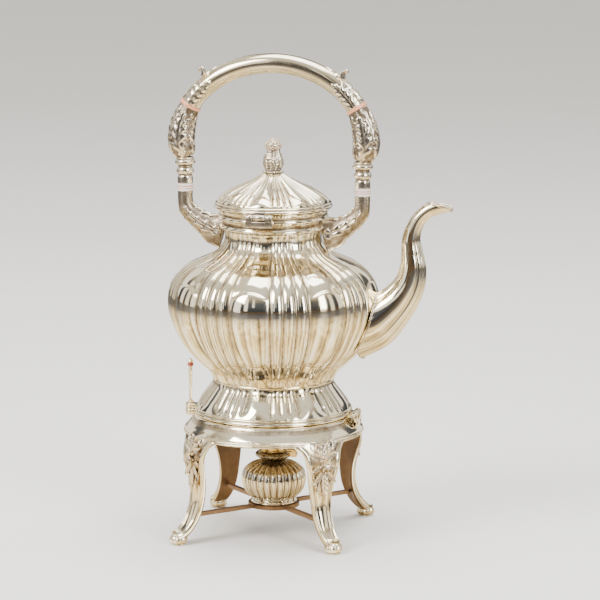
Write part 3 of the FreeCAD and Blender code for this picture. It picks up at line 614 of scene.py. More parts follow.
def side_parts(side, mirrored):
    """One side of the overhead handle, from the socket on the neck up to the upper insulating band."""
    def socket_relief(u, theta):
        total = 0
        for turn, reach in ((0.0, 1.0), (math.pi / 2, 0.95), (-math.pi / 2, 0.95), (math.pi, 1.0)):
            v = wrapped(theta - turn) / (0.62 * reach)
            total = np.maximum(total, leaf_height(1 - (u - 0.16) / 0.84, v, 5) * (u > 0.14))
        return 1.5 * total * fade(u, 0.14, 0.34) - 0.5 * fade(u, 0.1, 0.4)

    swept("handle_socket_leafed_" + side, [(POST_X, LOW_DISC[0], 6.0, 6.0), (POST_X, 272.0, 6.0, 6.0),
                                           (72.6, 267.0, 6.4, 6.3), (69.6, 262.0, 6.7, 6.5),
                                           (63.6, 256.6, 7.3, 6.8), (56.0, 251.6, 9.2, 7.2),
                                           (49.0, 248.2, 12.6, 7.5), (42.0, 246.8, 13.8, 7.7)],
          SILVER_CHASED, "kettle", ["handle_socket_" + side], relief=socket_relief, cols=112, rows=120,
          mirrored=mirrored, depth_of_dirt=0.9)

    low, high = LOW_DISC
    centre = (-POST_X if mirrored else POST_X, 0.0)
    thick, tall = high - low, FERRULE_TOP - high
    turned("insulator_low_" + side,
           [(0.0, 0.0), (6.2, 0.0), (6.9, 0.4), (7.0, 1.0), (6.4, 1.6), (6.4, 2.4), (6.7, 3.0), (6.4, 3.6),
            (6.4, thick - 1.6), (7.0, thick - 1.0), (6.9, thick - 0.4), (6.2, thick), (0.0, thick)],
           IVORY, "kettle", ["lower_insulator_" + side], "ivory", low, centre, 96, 1)
    turned("ferrule_turned_" + side, [(0.0, 0.0), (5.9, 0.0), (6.2, 0.5), (6.1, 5.8), (5.4, 6.8),
                                      (5.6, 7.6), (6.6, 8.6), (7.2, 10.6), (6.6, 12.6), (5.6, 13.6),
                                      (5.5, 14.4), (6.2, 15.2), (7.8, 16.0), (8.3, 17.2), (8.3, 18.2),
                                      (7.7, 19.2), (6.8, 19.8), (7.2, 20.6), (6.8, tall), (0.0, tall)],
           SILVER_CHASED, "kettle", ["handle_ferrule_" + side], "silver", high, centre, 112)

    def arm_relief(u, theta):
        total = 0
        for turn in (0.0, math.pi / 2, math.pi, 3 * math.pi / 2):
            v = wrapped(theta - turn) / 0.80
            total = np.maximum(total, leaf_height(u * 1.04, v, 6))
            w = wrapped(theta - turn - math.pi / 4) / 0.5
            total = np.maximum(total, 0.7 * leaf_height((u - 0.35) / 0.65, w, 4) * (u > 0.35))
        return 1.3 * total - 1.25

    swept("handle_arm_leafed_" + side, [(POST_X, FERRULE_TOP, 6.8, 6.8), (74.0, 309.4, 9.0, 8.8),
                                        (74.9, 313.4, 10.2, 10.0), arch(-3, 10.6), arch(3, 10.9),
                                        arch(9, 10.7), arch(17, 10.0), arch(BAND_ANGLE - BAND_GAP, 9.1)],
          SILVER_CHASED, "kettle", ["handle_arm_" + side], relief=arm_relief, cols=128, rows=120,
          mirrored=mirrored, depth_of_dirt=0.9)
    band = [(-1.0, 8.7), (-0.7, 9.05), (0.0, 9.1), (0.7, 9.05), (1.0, 8.7)]
    swept("insulator_band_" + side, [arch(BAND_ANGLE + BAND_GAP * place, half) for place, half in band],
          AMBER, "kettle", ["upper_insulator_" + side], "amber_band", cols=96, rows=12, mirrored=mirrored)


def handle_grip():
    first = BAND_ANGLE + BAND_GAP
    line = [arch(first + (180 - 2 * first) * i / 24, 8.2) for i in range(25)]

    def grip_relief(u, theta):
        """A leaf wraps each end, and a fine double line runs along the inside of the arch."""
        # theta 0 is the arch's outer side, because the line runs over the top from right to left
        total = 0
        for end in (u / 0.24, (1 - u) / 0.24):
            for turn, reach in ((math.pi, 1.0), (math.pi / 2, 0.7), (-math.pi / 2, 0.7)):
                v = wrapped(theta - turn) / 0.85
                total = np.maximum(total, leaf_height(end / reach, v, 5) * (end < reach))
        inner = np.abs(wrapped(theta))
        line_cut = -0.45 * (np.exp(-((inner - 0.62) / 0.07) ** 2) + np.exp(-((inner - 0.95) / 0.07) ** 2))
        return np.where(total > 0.02, 1.05 * total, line_cut * (1 - fade(total, 0.0, 0.02))) - 0.35

    swept("handle_grip_arch", line, SILVER, "kettle", ["handle_grip"], relief=grip_relief, cols=128, rows=320,
          depth_of_dirt=0.35)


def curled_leaf(name, mirrored):
    """The leaf tip that stands off the outside of the arch and curls over."""
    rows, cols = 48, 25
    spine = smooth([(69.6, 350.0), (66.6, 356.4), (63.0, 362.4), (60.2, 367.4), (58.4, 372.0),
                    (58.4, 376.0), (60.2, 378.6), (62.8, 378.8), (63.6, 377.0), (62.6, 375.8)], rows)
    spine[:, 0] -= 2.4
    out = -normals(spine)
    u = np.linspace(0, 1, rows)
    width = 7.6 * np.sin(np.pi * (0.24 + 0.68 * u)) ** 0.9 * (1 + 0.14 * np.cos(TAU * 4 * u))
    v = np.linspace(-1, 1, cols)
    cup = 2.4 * (1 - v**2) * np.sin(np.pi * (0.2 + 0.7 * u))[:, None]
    vein = 0.3 * np.cos(TAU * (3.5 * u[:, None] - 1.2 * np.abs(v)))
    layers = []
    for thick in (1.0, -0.9):
        lift = cup + vein + thick * (1 - v**4)
        x, z = [spine[:, [k]] + out[:, [k]] * lift for k in (0, 1)]
        layers.append(np.stack([x, width[:, None] * v, z], axis=-1))
    grid = np.concatenate([layers[0], layers[1][:, ::-1]], axis=1)
    shape = Shape()
    shape.grid(grid * MIRROR if mirrored else grid, capped=True)
    shape.piece(name, SILVER_CHASED, "kettle")


# ---- The lid and its finial ----

def lid_dome():
    low, high = node_box("lid_dome")
    profile = smooth([(45.6, low[2] + 0.2), (45.0, 274.0), (41.9, 277.4), (36.2, 281.0), (30.0, 283.9),
                      (22.0, 287.4), (15.0, 290.9), (10.5, 293.7), (7.4, high[2])], 90)
    out = fade(profile[:, 0], 8.0, 26.0) * 0.75 + 0.25
    depth = 2.0 * out * (0.2 + 0.8 * fade(profile[:, 1], low[2] + 0.4, low[2] + 4.2))
    grid, dirt = lobed_wall(profile, depth, WALL)
    shape = Shape()
    shape.grid(grid, along=True)
    shape.piece("lid_lobed", SILVER, "lid", ["lid_dome"], tarnish=dirt)


def lid_rim():
    base = node_box("lid_rim")[0][2]
    turned("lid_moulding", [(40.6, 0.0), (46.0, 0.0), (47.1, 0.5), (47.7, 1.3), (47.5, 2.2), (46.7, 2.8),
                            (46.5, 3.2), (46.9, 3.7), (46.9, 4.3), (46.3, 4.8), (45.6, 5.1), (44.3, 4.8),
                            (43.4, 3.6), (40.6, 2.0)], SILVER, "lid", ["lid_rim"], base=base,
           segments=192)


def finial_bud():
    z0 = node_box("finial")[0][2]
    line = smooth([(6.2, z0), (7.2, z0 + 2.4), (7.7, z0 + 5.6), (7.2, z0 + 9.0), (5.9, z0 + 12.0),
                   (5.1, z0 + 14.6), (5.2, z0 + 16.4)], 90)
    cols = 144
    theta = np.arange(cols) * TAU / cols
    u = np.linspace(0, 1, len(line))[:, None]
    total = 0
    for ring, (foot, reach, count, shift) in enumerate(((0.0, 0.62, 5, 0.0), (0.30, 0.70, 5, math.pi / 5))):
        for leaf in range(count):
            v = wrapped(theta - shift - leaf * TAU / count) / (TAU / count * 0.52)
            total = np.maximum(total, leaf_height((u - foot) / reach, v, 4) * (u > foot) * (1 - 0.1 * ring))
    shape = Shape()
    shape.grid(round_axis(line[:, :1] + 1.25 * total - 0.45, theta, line[:, 1:]))
    for row in (0, len(line) - 1):
        shape.verts.append((0, 0, line[row, 1]))
        shape.faces += [(row * cols + j, row * cols + (j + 1) % cols, len(shape.verts) - 1)
                        for j in range(cols)]
    dirt = np.concatenate([(0.95 * np.clip(1 - total * 1.5, 0, 1)).ravel(), [0, 0]])
    shape.piece("finial_leaves", SILVER_CHASED, "lid", ["finial"], tarnish=dirt)


def sides_of(axis, other=(0.3, 0.9, 0.2)):
    """Two unit directions square to an axis and to each other."""
    side = np.cross(axis, other)
    side /= np.linalg.norm(side)
    return side, np.cross(axis, side)


def ball(shape, centre, radii, rings=8, cols=12, axis=(0.0, 0.0, 1.0)):
    """Adds a small ellipsoid bead. axis is the direction of its own pole."""
    axis = np.array(axis) / np.linalg.norm(axis)
    side, other = sides_of(axis)
    polar = (math.pi * (np.arange(rings + 1) + 0.02) / (rings + 0.04))[:, None, None]
    turn = (np.arange(cols) * TAU / cols)[:, None]
    around = side * np.cos(turn) * radii[0] + other * np.sin(turn) * radii[1]
    shape.grid(np.array(centre) + around * np.sin(polar) + axis * radii[2] * np.cos(polar), capped=True)


def finial_crown():
    """The cluster of small florets that tops the finial, set round a dome in a sunflower spiral."""
    centre = np.array([0.0, 0.0, node_box("finial")[1][2] - 6.0])
    shape = Shape()
    ball(shape, centre, (5.9, 5.9, 5.2), 18, 36)
    count = 84
    for i in range(count):
        polar = math.acos(1 - 1.72 * (i + 0.5) / count)
        turn = i * GOLDEN_ANGLE
        out = np.array([math.sin(polar) * math.cos(turn), math.sin(polar) * math.sin(turn), math.cos(polar)])
        ball(shape, centre + out * np.array([6.2, 6.2, 5.3]), (0.92, 0.92, 0.78), 6, 10, out)
    shape.piece("finial_florets", SILVER_CHASED, "lid")


def finial_base():
    low, high = node_box("finial_base")
    top = high[2] - low[2]
    turned("finial_petal_ring", [(1.6, 0.0), (7.6, 0.0), (8.6, 0.5), (8.7, 1.2), (7.4, 1.9), (6.3, 2.4),
                                 (6.4, 2.9), (6.0, top), (1.6, top)], SILVER_CHASED, "lid",
           ["finial_base"], base=low[2], gadroons=16, gadroon_depth=0.09, segments=160)


# ---- The stand ----
STAND_TOP = node_box("stand_ring")[1][2]
RING_LOW = node_box("stand_ring")[0][2]
LEG_ANGLES = [math.radians(-45 + 90 * i) for i in range(4)]


def stand_ring():
    """The flared apron with its double moulded lower edge."""
    top, low = STAND_TOP, RING_LOW
    outer = [(54.0, 0.0), (61.6, 0.0), (63.2, 0.3), (64.2, 1.2), (65.0, 2.6), (66.6, 4.6), (68.8, 7.2),
             (70.6, 9.6), (71.4, 10.8), (72.2, 11.3), (72.9, 12.0), (72.7, 12.7), (72.6, 13.1),
             (73.3, 13.5), (73.4, 14.3)]
    inner = [(72.8, 0.2), (71.6, 0.0), (70.2, 0.3), (69.6, 1.6), (68.4, 4.6), (66.2, 8.6), (63.6, 11.4),
             (61.0, 12.8), (54.0, 13.0)]
    outline = [(radius, top - drop) for radius, drop in outer] + [(radius, low + rise) for radius,
                                                                  rise in inner]
    turned("apron_moulded", outline, SILVER, "stand", ["stand_ring"], segments=240)


# Radius, height, half width and half thickness of a leg, from the apron down to the foot.
LEG_LINE = [(65.6, 93.4, 25.0, 0.9), (68.8, 90.0, 25.0, 0.9), (70.9, 87.6, 24.8, 0.95),
            (72.3, 85.4, 24.4, 1.0), (73.2, 83.0, 22.0, 1.1), (74.0, 80.6, 19.4, 1.2),
            (74.7, 77.6, 17.6, 1.35), (75.1, 74.0, 16.4, 1.5), (75.0, 68.0, 15.2, 1.7),
            (73.4, 60.0, 13.4, 1.9), (71.6, 50.0, 11.0, 2.1), (71.2, 40.0, 9.4, 2.2),
            (72.6, 30.0, 8.5, 2.3), (76.6, 20.0, 7.9, 2.4), (82.4, 12.0, 7.2, 2.5), (88.6, 7.2, 6.4, 2.6),
            (93.4, 6.4, 5.8, 2.5)]
LEG_ROWS, LEG_COLS = 130, 48


def leg_section(half_width, half_thick, bow, high):
    """Points round a leg's section: across, and outward. Beads run down both edges, over a bowed face.

    high goes from 0 to 1 over the leg's head, where the beads end and the edges sink into the apron.
    """
    across = np.cos(np.linspace(0, math.pi, LEG_COLS // 2))
    edge = np.exp(-((np.abs(across) - 0.86) / 0.10) ** 2)
    hollow = np.exp(-((np.abs(across) - 0.66) / 0.10) ** 2)
    beads = (0.75 * edge - 0.35 * hollow) * (1 - high)
    front = half_thick * (0.75 + beads) * np.clip((1 - np.abs(across) ** 10), 0, 1) ** 0.5
    front = front + bow * (1 - across**2) - 2.4 * high * fade(np.abs(across), 0.5, 1.0)
    back = -half_thick * np.clip((1 - np.abs(across) ** 10), 0, 1) ** 0.5 + 0.7 * bow * (1 - across**2)
    side = np.concatenate([across, across[::-1]]) * half_width
    out = np.concatenate([front, back[::-1]])
    return side, out


def leg(number, angle):
    line = smooth(LEG_LINE, LEG_ROWS)
    outward = normals(line)
    rows = []
    for i, (r, z, half_width, half_thick) in enumerate(line):
        bow = 0.5 + 1.3 * fade(z, 4, 30) * fade(-z, -86, -70)
        side, out = leg_section(half_width, half_thick, bow, fade(z, 84.6, 87.4))
        radius = r + outward[i, 0] * out - side**2 / (2 * 72.0) * fade(z, 66, 84)
        x = radius * math.cos(angle) - side * math.sin(angle)
        y = radius * math.sin(angle) + side * math.cos(angle)
        rows.append(np.stack([x, y, z + outward[i, 1] * out], axis=-1))
    shape = Shape()
    shape.grid(np.stack(rows), capped=True)
    front = np.arange(LEG_COLS) < LEG_COLS // 2
    across = np.abs(np.concatenate([np.cos(np.linspace(0, math.pi, LEG_COLS // 2))] * 2))
    edges = np.where(front, np.exp(-((across - 0.68) / 0.07) ** 2) * 0.8, 0.3)
    height = line[:, 1:2]
    ground = 0.9 * fade(height, 44, 52) * fade(-height, -85, -79) * (across < 0.60) * front
    piece = shape.piece(f"leg_cast_{number}", [SILVER, BURNT], "stand", [f"leg_{number}"],
                        tarnish=np.maximum(edges, ground))
    for polygon in piece.data.polygons[:(LEG_ROWS - 1) * LEG_COLS]:
        column = polygon.index % LEG_COLS
        polygon.material_index = int(LEG_COLS // 2 + 1 < column < LEG_COLS - 3)


def petal(shape, base, along, out, length, width, lift, cup, steps=9, across=7, veins=0):
    """Adds one leaf or petal: a thin cupped blade from base along a direction, curling outward by lift."""
    along = np.array(along) / np.linalg.norm(along)
    out = np.array(out) - along * np.dot(out, along)
    out /= np.linalg.norm(out)
    side = np.cross(out, along)
    u = np.linspace(0, 1, steps)
    v = np.linspace(-1, 1, across)
    half = width * np.sin(np.pi * (0.10 + 0.87 * u) ** 0.85) ** 0.8
    if veins:
        half = half * (1 + 0.14 * np.cos(TAU * veins * u))
    layers = []
    for thick in (0.45, -0.35):
        height = (lift * np.sin(u * 1.9))[:, None] + cup * np.abs(v) ** 2 + thick * np.clip(1 - v**4, 0, 1)
        if veins:
            height = height + 0.18 * np.cos(TAU * (veins * u[:, None] - np.abs(v)))
        sideways = (half[:, None] * v)[:, :, None]
        layers.append(np.array(base) + along * (u * length)[:, None, None] + side * sideways
                      + out * height[:, :, None])
    shape.grid(np.concatenate([layers[0], layers[1][:, ::-1]], axis=1), capped=True)


SPRAY_HEIGHTS = [40, 50, 60, 68, 75, 80, 86, 92]
SPRAY_RADII = [74.5, 74.9, 76.6, 78.1, 77.7, 76.4, 73.6, 68.9]


def leg_spray(number, angle):
    """The cast flower spray on the outside of a leg's head: scrolls, leaves and one open flower."""
    radial = np.array([math.cos(angle), math.sin(angle), 0.0])
    across = np.array([-math.sin(angle), math.cos(angle), 0.0])
    up = np.array([0.0, 0.0, 1.0])

    def at(side, z, out):
        surface = np.interp(z, SPRAY_HEIGHTS, SPRAY_RADII)
        return radial * (surface + out - 0.012 * side * side) + across * side + up * z

    def leaning(lean):
        return across * math.sin(lean) + up * math.cos(lean)

    shape = Shape()
    for turn in range(7):
        lean = math.radians(-66 + 22 * turn)
        direction = leaning(lean) - radial * 0.18 * math.cos(lean)
        petal(shape, at(0, 74.0, -0.5), direction, radial, 14.5 - 2.0 * abs(math.sin(lean)), 2.9, 0.1,
              0.7, 14, 9, 4)
    for side in (-1, 1):
        for z, lean, length in ((70.0, 114, 12.0), (64.0, 136, 13.5), (58.0, 158, 13.0)):
            petal(shape, at(side * 1.2, z, -0.7), leaning(side * math.radians(lean)), radial, length, 2.5,
                  0.5, 0.6, 12, 9, 4)
        scroll = [at(side * (8.0 - 3.4 * math.cos(a) * (1 - a / 12)), 84.0 + 4.2 * math.sin(a) * (1 - a / 12),
                     0.1 - a * 0.05) for a in np.linspace(0, 7.4, 30)]
        add_rope(shape, scroll, 0.85)
        border = [(13.4, 79.0, 0.1), (12.6, 72.0, 0.1), (10.6, 64.0, 0.0), (7.6, 56.0, 0.0),
                  (3.4, 48.0, -0.2), (0, 44.0, -0.6)]
        add_rope(shape, smooth([at(side * aside, z, out) for aside, z, out in border], 40), 0.7)
    petal(shape, at(0, 62.0, -0.7), -up, radial, 19.0, 2.8, 0.5, 0.8, 18, 9, 5)
    flower = at(0, 70.5, 1.2)
    for ring, (count, length, lift) in enumerate(((7, 6.2, 0.8), (6, 4.2, 1.6))):
        for i in range(count):
            petal(shape, flower + radial * (0.5 * ring - 0.8), leaning(TAU * (i + 0.5 * ring) / count),
                  radial, length, 1.9 - 0.3 * ring, lift, 0.6, 9, 7)
    for i in range(9):
        stamen = leaning(math.pi / 2 - i * GOLDEN_ANGLE) * math.sqrt(i / 9) * 1.3
        ball(shape, flower + radial * 0.8 + stamen, (0.55, 0.55, 0.5), 5, 8, radial)
    shape.piece(f"leg_spray_{number}", SILVER_CHASED, "stand")


def add_rope(shape, path, radius, cols=10):
    """Adds a thin round strand along a path, tapering at both ends."""
    path = np.array(path, float)
    ahead = headings(path)
    turn = (np.arange(cols) * TAU / cols)[:, None]
    grid = []
    side = np.cross(ahead[0], [0.31, 0.17, 0.93])
    for i, point in enumerate(path):
        side = side - ahead[i] * np.dot(side, ahead[i])
        side /= np.linalg.norm(side)
        other = np.cross(ahead[i], side)
        size = radius * (0.35 + 0.65 * math.sin(math.pi * (i + 0.5) / len(path)) ** 0.5)
        grid.append(point + size * (side * np.cos(turn) + other * np.sin(turn)))
    shape.grid(np.array(grid), capped=True)


def leg_foot(number, angle):
    """The leaf-wrapped pad under each leg."""
    low, high = node_box(f"foot_pad_{number}")
    centre = ((low[0] + high[0]) / 2, (low[1] + high[1]) / 2)
    top = high[2]
    turned(f"foot_gadrooned_{number}", [(0.0, 0.0), (4.4, 0.0), (5.6, 0.5), (5.2, 1.2), (6.6, 1.9),
                                        (7.5, 3.4), (7.4, 5.0), (6.6, 6.6), (5.4, 7.8), (3.6, top - 0.6),
                                        (0.0, top)], SILVER, "stand", [f"foot_pad_{number}"],
           centre=centre, segments=120, gadroons=12, gadroon_depth=0.10)


# ---- The burner ----

BURNER_WALL = 1.1


def burner_bowl():
    low, high = node_box("burner_bowl")
    profile = smooth([(17.4, low[2]), (22.2, 32.0), (25.4, 38.0), (26.4, 45.0), (24.6, 51.0),
                      (19.0, 55.8), (12.0, 58.6), (8.4, high[2])], 90)
    flutes = 26
    cols = flutes * 12
    theta = np.arange(cols) * TAU / cols
    share = np.abs(np.sin(theta * flutes / 2))
    depth = 1.7 * fade(profile[:, 0], 7.5, 16.0) * (0.3 + 0.7 * fade(profile[:, 1], low[2], low[2] + 5))
    scoop = (1 - share**0.75) * depth[:, None]
    lean = headings(profile)
    inner = profile + BURNER_WALL * np.stack([-lean[:, 1], lean[:, 0]], axis=1)
    outer_wall, inner_wall = [round_axis(face[:, :1] - scoop, theta, face[:, 1:])
                              for face in (profile, inner)]
    dirt = np.clip(1 - share * 1.5, 0, 1) * np.ones((len(profile), 1))
    dirt = np.clip(dirt + 0.85 * fade(profile[:, 1:], 46, 58) * (1 - 0.6 * share), 0, 1)
    shape = Shape()
    shape.grid(np.concatenate([outer_wall, inner_wall[::-1]]), along=True)
    shape.piece("burner_gadrooned", SILVER, "burner", ["burner_bowl"],
                tarnish=np.concatenate([dirt, dirt[::-1]]))
    turned("burner_floor", [(0.0, 0.0), (17.0, 0.0), (17.4, 0.6), (16.8, 1.2), (0.0, 1.2)], SILVER_INSIDE,
           "burner", base=low[2], rounds=1)


def burner_fittings():
    low, high = node_box("burner_foot")
    top = high[2] - low[2]
    turned("burner_foot_ring", [(12.0, 0.0), (18.2, 0.0), (19.0, 0.6), (18.9, 1.4), (18.0, 2.1),
                                (17.4, 2.8), (17.4, top), (12.0, top)], SILVER, "burner", ["burner_foot"],
           base=low[2])
    base = node_box("burner_collar")[0][2]
    turned("burner_dish", [(7.0, 0.0), (9.0, 0.0), (12.6, 0.5), (14.2, 1.4), (15.1, 2.7), (14.8, 4.2),
                           (13.6, 5.1), (12.2, 4.8), (11.4, 3.6), (9.6, 2.8), (7.0, 2.6)], SMOKED,
           "burner", ["burner_collar"], "dark_silver", base)
    low, high = node_box("wick_tube")
    top = high[2] - low[2]
    turned("wick_sleeve", [(5.4, 0.0), (6.9, 0.0), (7.0, 0.6), (7.0, top - 1.4), (6.7, top - 1.0),
                           (6.9, top - 0.4), (6.4, top), (5.4, top)], SMOKED, "burner", ["wick_tube"],
           "dark_silver", low[2], segments=72)


def snuffer():
    low, high = node_box("snuffer_cap")
    top = high[2] - low[2]
    turned("snuffer_dome", [(9.8, 0.0), (10.7, 0.0), (10.8, 0.8), (10.4, 1.6), (10.5, 3.6), (9.4, 5.6),
                            (7.4, 7.3), (4.0, 8.7), (0.0, top), (0.0, top - 1.0), (3.6, top - 1.7),
                            (7.2, top - 3.4), (9.0, top - 5.2), (9.4, 1.6)], GILT, "snuffer",
           ["snuffer_cap"], "gilt", low[2], segments=96)
    low, high = node_box("snuffer_button")
    turned("snuffer_knob", [(0.0, 0.0), (1.4, 0.0), (1.2, 1.2), (1.6, 2.0), (2.4, 2.7), (2.4, 3.6),
                            (1.6, 4.5), (0.0, high[2] - low[2])], GILT, "snuffer", ["snuffer_button"],
           "gilt", low[2], segments=48)


# ---- Hinges and lugs ----

def add_block(shape, low, high, radius=0.5):
    """Adds a block with rounded edges between two corners."""
    low, high = np.array(low, float), np.array(high, float)
    shaped = bmesh.new()
    bmesh.ops.create_cube(shaped, size=1.0)
    for vert in shaped.verts:
        vert.co = Vector((low + high) / 2 + np.array(vert.co) * (high - low))
    bmesh.ops.bevel(shaped, geom=shaped.edges[:], offset=radius, segments=4, profile=0.5, affect="EDGES")
    shaped.verts.index_update()
    start = len(shape.verts)
    shape.verts += [tuple(vert.co) for vert in shaped.verts]
    shape.faces += [[start + vert.index for vert in face.verts] for face in shaped.faces]
    shaped.free()


def add_barrel(shape, start, end, radius, cols=40):
    """Adds a hinge knuckle: a barrel from start to end with soft edges and a turned line near each."""
    start, end = np.array(start, float), np.array(end, float)
    length = np.linalg.norm(end - start)
    along = (end - start) / length
    side, other = sides_of(along, (0.2, 0.3, 0.93))
    turn = (np.arange(cols) * TAU / cols)[:, None]
    half = [(0.0, 0.05), (0.0, radius - 0.5), (0.12, radius - 0.15), (0.45, radius), (0.95, radius),
            (1.1, radius - 0.2), (1.25, radius)]
    profile = half + [(length - at, size) for at, size in half[::-1]]
    shape.grid(np.stack([start + along * at + size * (side * np.cos(turn) + other * np.sin(turn))
                         for at, size in profile]), capped=True)


def lid_hinge():
    """The block hinge on the front of the collar, with the lid's knuckle between the collar's two."""
    y, z, radius = -48.4, 265.0, 2.4
    shape = Shape()
    add_block(shape, (-11, y - radius, 257.4), (11, -43.5, 262.2), 0.7)
    for x0, x1 in ((-11, -5.0), (5.0, 11)):
        add_barrel(shape, (x0, y, z), (x1, y, z), radius)
        add_block(shape, (x0 + 0.2, y - radius, 260.6), (x1 - 0.2, -46.0, z), 0.5)
    shape.piece("collar_hinge_block", SILVER_CHASED, "kettle", ["collar_hinge_leaf"],
               tarnish=0.3)
    shape = Shape()
    add_barrel(shape, (-4.8, y, z), (4.8, y, z), radius)
    add_block(shape, (-4.8, y - 0.2, z + 1.0), (4.8, -45.4, z + 4.6), 0.6)
    shape.piece("lid_hinge_knuckle", SILVER_CHASED, "lid", ["lid_hinge_leaf"], tarnish=0.3)


def tilt_hinge():
    """The knuckles at the front of the foot, on which the pot tips."""
    x, z, radius = 68.5, 101.0, 2.7
    shape = Shape()
    add_barrel(shape, (x, -3.6, z), (x, 3.6, z), radius)
    add_block(shape, (61.0, -3.6, 99.5), (x, 3.6, z + 1.7), 0.7)
    shape.piece("tilt_knuckle_foot", SILVER, "kettle", ["tilt_knuckle_pot"])
    shape = Shape()
    for y0, y1 in ((-8.4, -3.8), (3.8, 8.4)):
        add_barrel(shape, (x, y0, z), (x, y1, z), radius)
        add_block(shape, (67.6, y0, 92.0), (x + radius, y1, z), 0.7)
    add_block(shape, (67.6, -8.4, 91.0), (x + radius, 8.4, 96.0), 0.9)
    shape.piece("tilt_knuckle_apron", SILVER, "stand", ["tilt_knuckle_stand"])


def rear_lugs():
    """The pair of rounded lugs at the back that the locating pin passes through."""
    for name, node, body, z0, z1 in (("lug_foot", "rear_lug_pot", "kettle", 99.3, 102.9),
                                     ("lug_apron", "rear_lug_stand", "stand", 93.6, 98.8)):
        shape = Shape()
        add_barrel(shape, (-70, 0, z0), (-70, 0, z1), 4.2)
        add_block(shape, (-70, -4.1, z0 + 0.1), (-61.5, 4.1, z1 - 0.1), 0.8)
        shape.piece(name, SILVER, body, [node])


# ---- Small CAD pieces keep their own shape and take a finished material ----
CARRIED = {SILVER: ["spout_strainer", "lid_hinge_pin", "handle_rivets", "tilt_hinge_pin", "locating_pin",
                    "pin_knob"], SILVER_INSIDE: ["lid_flange", "finial_screw", "finial_washer",
                                                 "finial_nut"], BURNT: ["burner_seat_ring",
                                                                        "seat_brackets",
                                                                        "bracket_rivets"],
           GILT: ["snuffer_strap", "snuffer_bracket", "snuffer_pin"], RED: ["pin_bead"], COTTON: ["wick"],
           }


def dress_carried_nodes():
    for material, names in CARRIED.items():
        for name in names:
            for material_slot in frame["nodes"][name].material_slots:
                material_slot.material = material


# ---- Floor, light and camera ----

FLOOR_REACH = 40.0


def floor():
    """A pale sheet of paper. To glossy rays it shows painted reflections: dark and golden rays in the silver,
    as a furnished room would give.
    """
    n = Paint("floor_paper_painted_reflections")
    paper = n.ramp(n.noise(3.0, 3, 0.5), [(0.3, (0.94, 0.935, 0.92)), (0.7, (0.965, 0.96, 0.95))])
    bearing = n.add("VectorMath", operation="NORMALIZE")
    n.feed(bearing.inputs[0], n.place)
    rays = n.maths("ADD", n.maths("MULTIPLY", n.noise(3.6, 4, 0.6, 0.2, source=bearing.outputs["Vector"]),
                                  0.72), n.maths("MULTIPLY", n.noise(7.0, 4, 0.6, 0.8), 0.28))
    # painted reflections: dark and golden patches, seen only by glossy rays, stand in for a furnished room
    # mirrored in the silver
    painted_reflections = n.ramp(rays, [(0.38, (0.05, 0.035, 0.02)), (0.46, (0.36, 0.25, 0.10)),
                            (0.52, (0.88, 0.71, 0.39)), (0.58, (1.0, 0.96, 0.86))])
    reach = n.add("VectorMath", operation="LENGTH")
    n.feed(reach.inputs[0], n.place)
    # painted reflections fade to near black far from the pot, as a dark room would show in the silver
    painted_reflections = n.mix(n.spread(reach.outputs["Value"], 0.0, 1.0, 0.35, 1.1), painted_reflections, (0.045, 0.042, 0.05))
    # the camera sees plain paper, and glossy rays see the painted reflections
    n.put("Base Color", n.mix(n.add("LightPath").outputs["Is Glossy Ray"], paper, painted_reflections))
    # roughness of the paper
    n.put("Roughness", 0.55)
    mesh = bpy.data.meshes.new("floor")
    corners = [(x * FLOOR_REACH, y * FLOOR_REACH, 0) for x, y in ((-1, -1), (1, -1), (1, 1), (-1, 1))]
    mesh.from_pydata(corners, [], [(0, 1, 2, 3)])
    mesh.materials.append(n.material)
    sheet = bpy.data.objects.new("floor", mesh)
    bpy.context.scene.collection.objects.link(sheet)


# Each window round the pot: its bearing, half its width, its low and high edge, and its colour.
WINDOWS = [(-2.42, 0.20, 0.00, 0.70, (1.9, 1.85, 1.75)), (-1.93, 0.09, 0.10, 0.62, (1.8, 1.75, 1.65)),
           (-1.52, 0.06, 0.30, 0.62, (1.5, 1.42, 1.25)), (-0.66, 0.14, 0.00, 0.70, (1.9, 1.8, 1.6)),
           (-0.10, 0.12, 0.00, 0.60, (1.5, 1.42, 1.25)), (0.55, 0.25, 0.00, 0.64, (1.6, 1.55, 1.45)),
           (1.35, 0.18, 0.00, 0.64, (1.6, 1.55, 1.45)), (2.25, 0.25, 0.00, 0.64, (1.6, 1.55, 1.45)),
           (2.95, 0.14, 0.00, 0.64, (1.6, 1.55, 1.45)), (-2.88, 0.12, 0.00, 0.62, (1.5, 1.42, 1.28))]
WINDOW_EDGE = 0.02


def world():
    """A white-topped studio with a dark room below it, and tall soft windows at places round about."""
    studio = bpy.data.worlds.new("studio")
    studio.use_nodes = True
    studio.node_tree.nodes.clear()
    n = Nodes(studio.node_tree)

    def band(value, low, high):
        """1 where the value lies between low and high, with soft edges."""
        rise, fall = [n.spread(value, 0.0, 1.0, edge - WINDOW_EDGE, edge + WINDOW_EDGE, "SMOOTHSTEP")
                      for edge in (low, high)]
        return n.maths("SUBTRACT", rise, fall)

    split = n.add("SeparateXYZ", Vector=n.add("TexCoord").outputs["Generated"])
    height = split.outputs["Z"]
    turn = n.maths("ARCTAN2", split.outputs["Y"], split.outputs["X"])
    colour = n.ramp(height, [(0.00, (0.16, 0.10, 0.05)), (0.12, (0.05, 0.055, 0.07)),
                             (0.45, (0.13, 0.14, 0.165)), (0.60, (0.50, 0.43, 0.31)),
                             (0.74, (1.0, 0.96, 0.85)), (1.00, (1.15, 1.15, 1.12))])
    for middle, half, low, high, tint in WINDOWS:
        lit = n.maths("MULTIPLY", band(turn, middle - half, middle + half), band(height, low, high))
        colour = n.mix(lit, colour, tint)
    background = n.add("Background", Color=colour)
    n.feed(n.add("OutputWorld").inputs[0], background.outputs[0])
    bpy.context.scene.world = studio


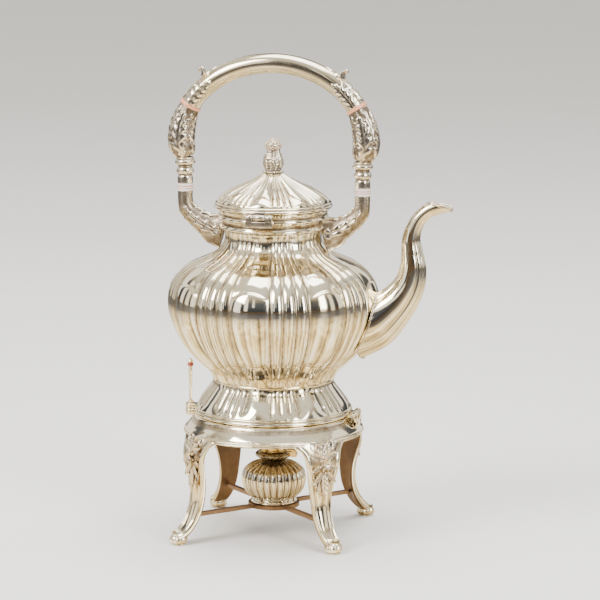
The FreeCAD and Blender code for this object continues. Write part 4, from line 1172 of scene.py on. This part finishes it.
def aimed(name, data, place, target):
    """Adds a light or a camera at a place, turned to look at a target."""
    item = bpy.data.objects.new(name, data)
    item.location = place
    item.rotation_euler = (Vector(target) - Vector(place)).to_track_quat("-Z", "Y").to_euler()
    bpy.context.scene.collection.objects.link(item)
    return item


LIGHT_AIM = (0.0, 0.0, 0.2)
# Name, place, width and height, power, and colour.
LIGHTS = [("key", (-1.3, -1.5, 1.7), (1.1, 1.1), 66, (1.0, 0.985, 0.96)),
          ("fill", (1.6, -1.2, 1.1), (0.7, 1.4), 32, (0.96, 0.98, 1.0)),
          ("top", (0.1, 0.3, 2.2), (1.6, 1.6), 58, (1.0, 1.0, 1.0))]


def lights():
    for name, place, size, power, colour in LIGHTS:
        light = bpy.data.lights.new(name, "AREA")
        light.shape = "RECTANGLE"
        light.size, light.size_y = size
        light.energy, light.color = power, colour
        aimed(name, light, place, LIGHT_AIM)


AZIMUTH = math.radians(13.53)
CAMERA_DISTANCE = 2.273
CAMERA_HEIGHT = 0.5897
CAMERA_AIM = (0.022, 0.0, 0.192)
LENS = 171.0


def camera():
    view = bpy.data.cameras.new("camera")
    view.sensor_width = 36
    view.lens = LENS
    view.clip_end = 50
    place = (CAMERA_DISTANCE * math.sin(AZIMUTH), -CAMERA_DISTANCE * math.cos(AZIMUTH), CAMERA_HEIGHT)
    bpy.context.scene.camera = aimed("camera", view, place, CAMERA_AIM)


# ---- Everything, in order ----
kettle_body()
kettle_floor()
foot_skirt()
waist_band()
foot_rim()
neck_collar()
spout()
for side, mirrored in (("front", False), ("rear", True)):
    side_parts(side, mirrored)
    curled_leaf("leaf_tip_" + side, mirrored)
handle_grip()
lid_dome()
lid_rim()
finial_bud()
finial_crown()
finial_base()
stand_ring()
for number, angle in enumerate(LEG_ANGLES, start=1):
    leg(number, angle)
    leg_spray(number, angle)
    leg_foot(number, angle)
burner_bowl()
burner_fittings()
snuffer()
lid_hinge()
tilt_hinge()
rear_lugs()
dress_carried_nodes()
floor()
world()
lights()
camera()
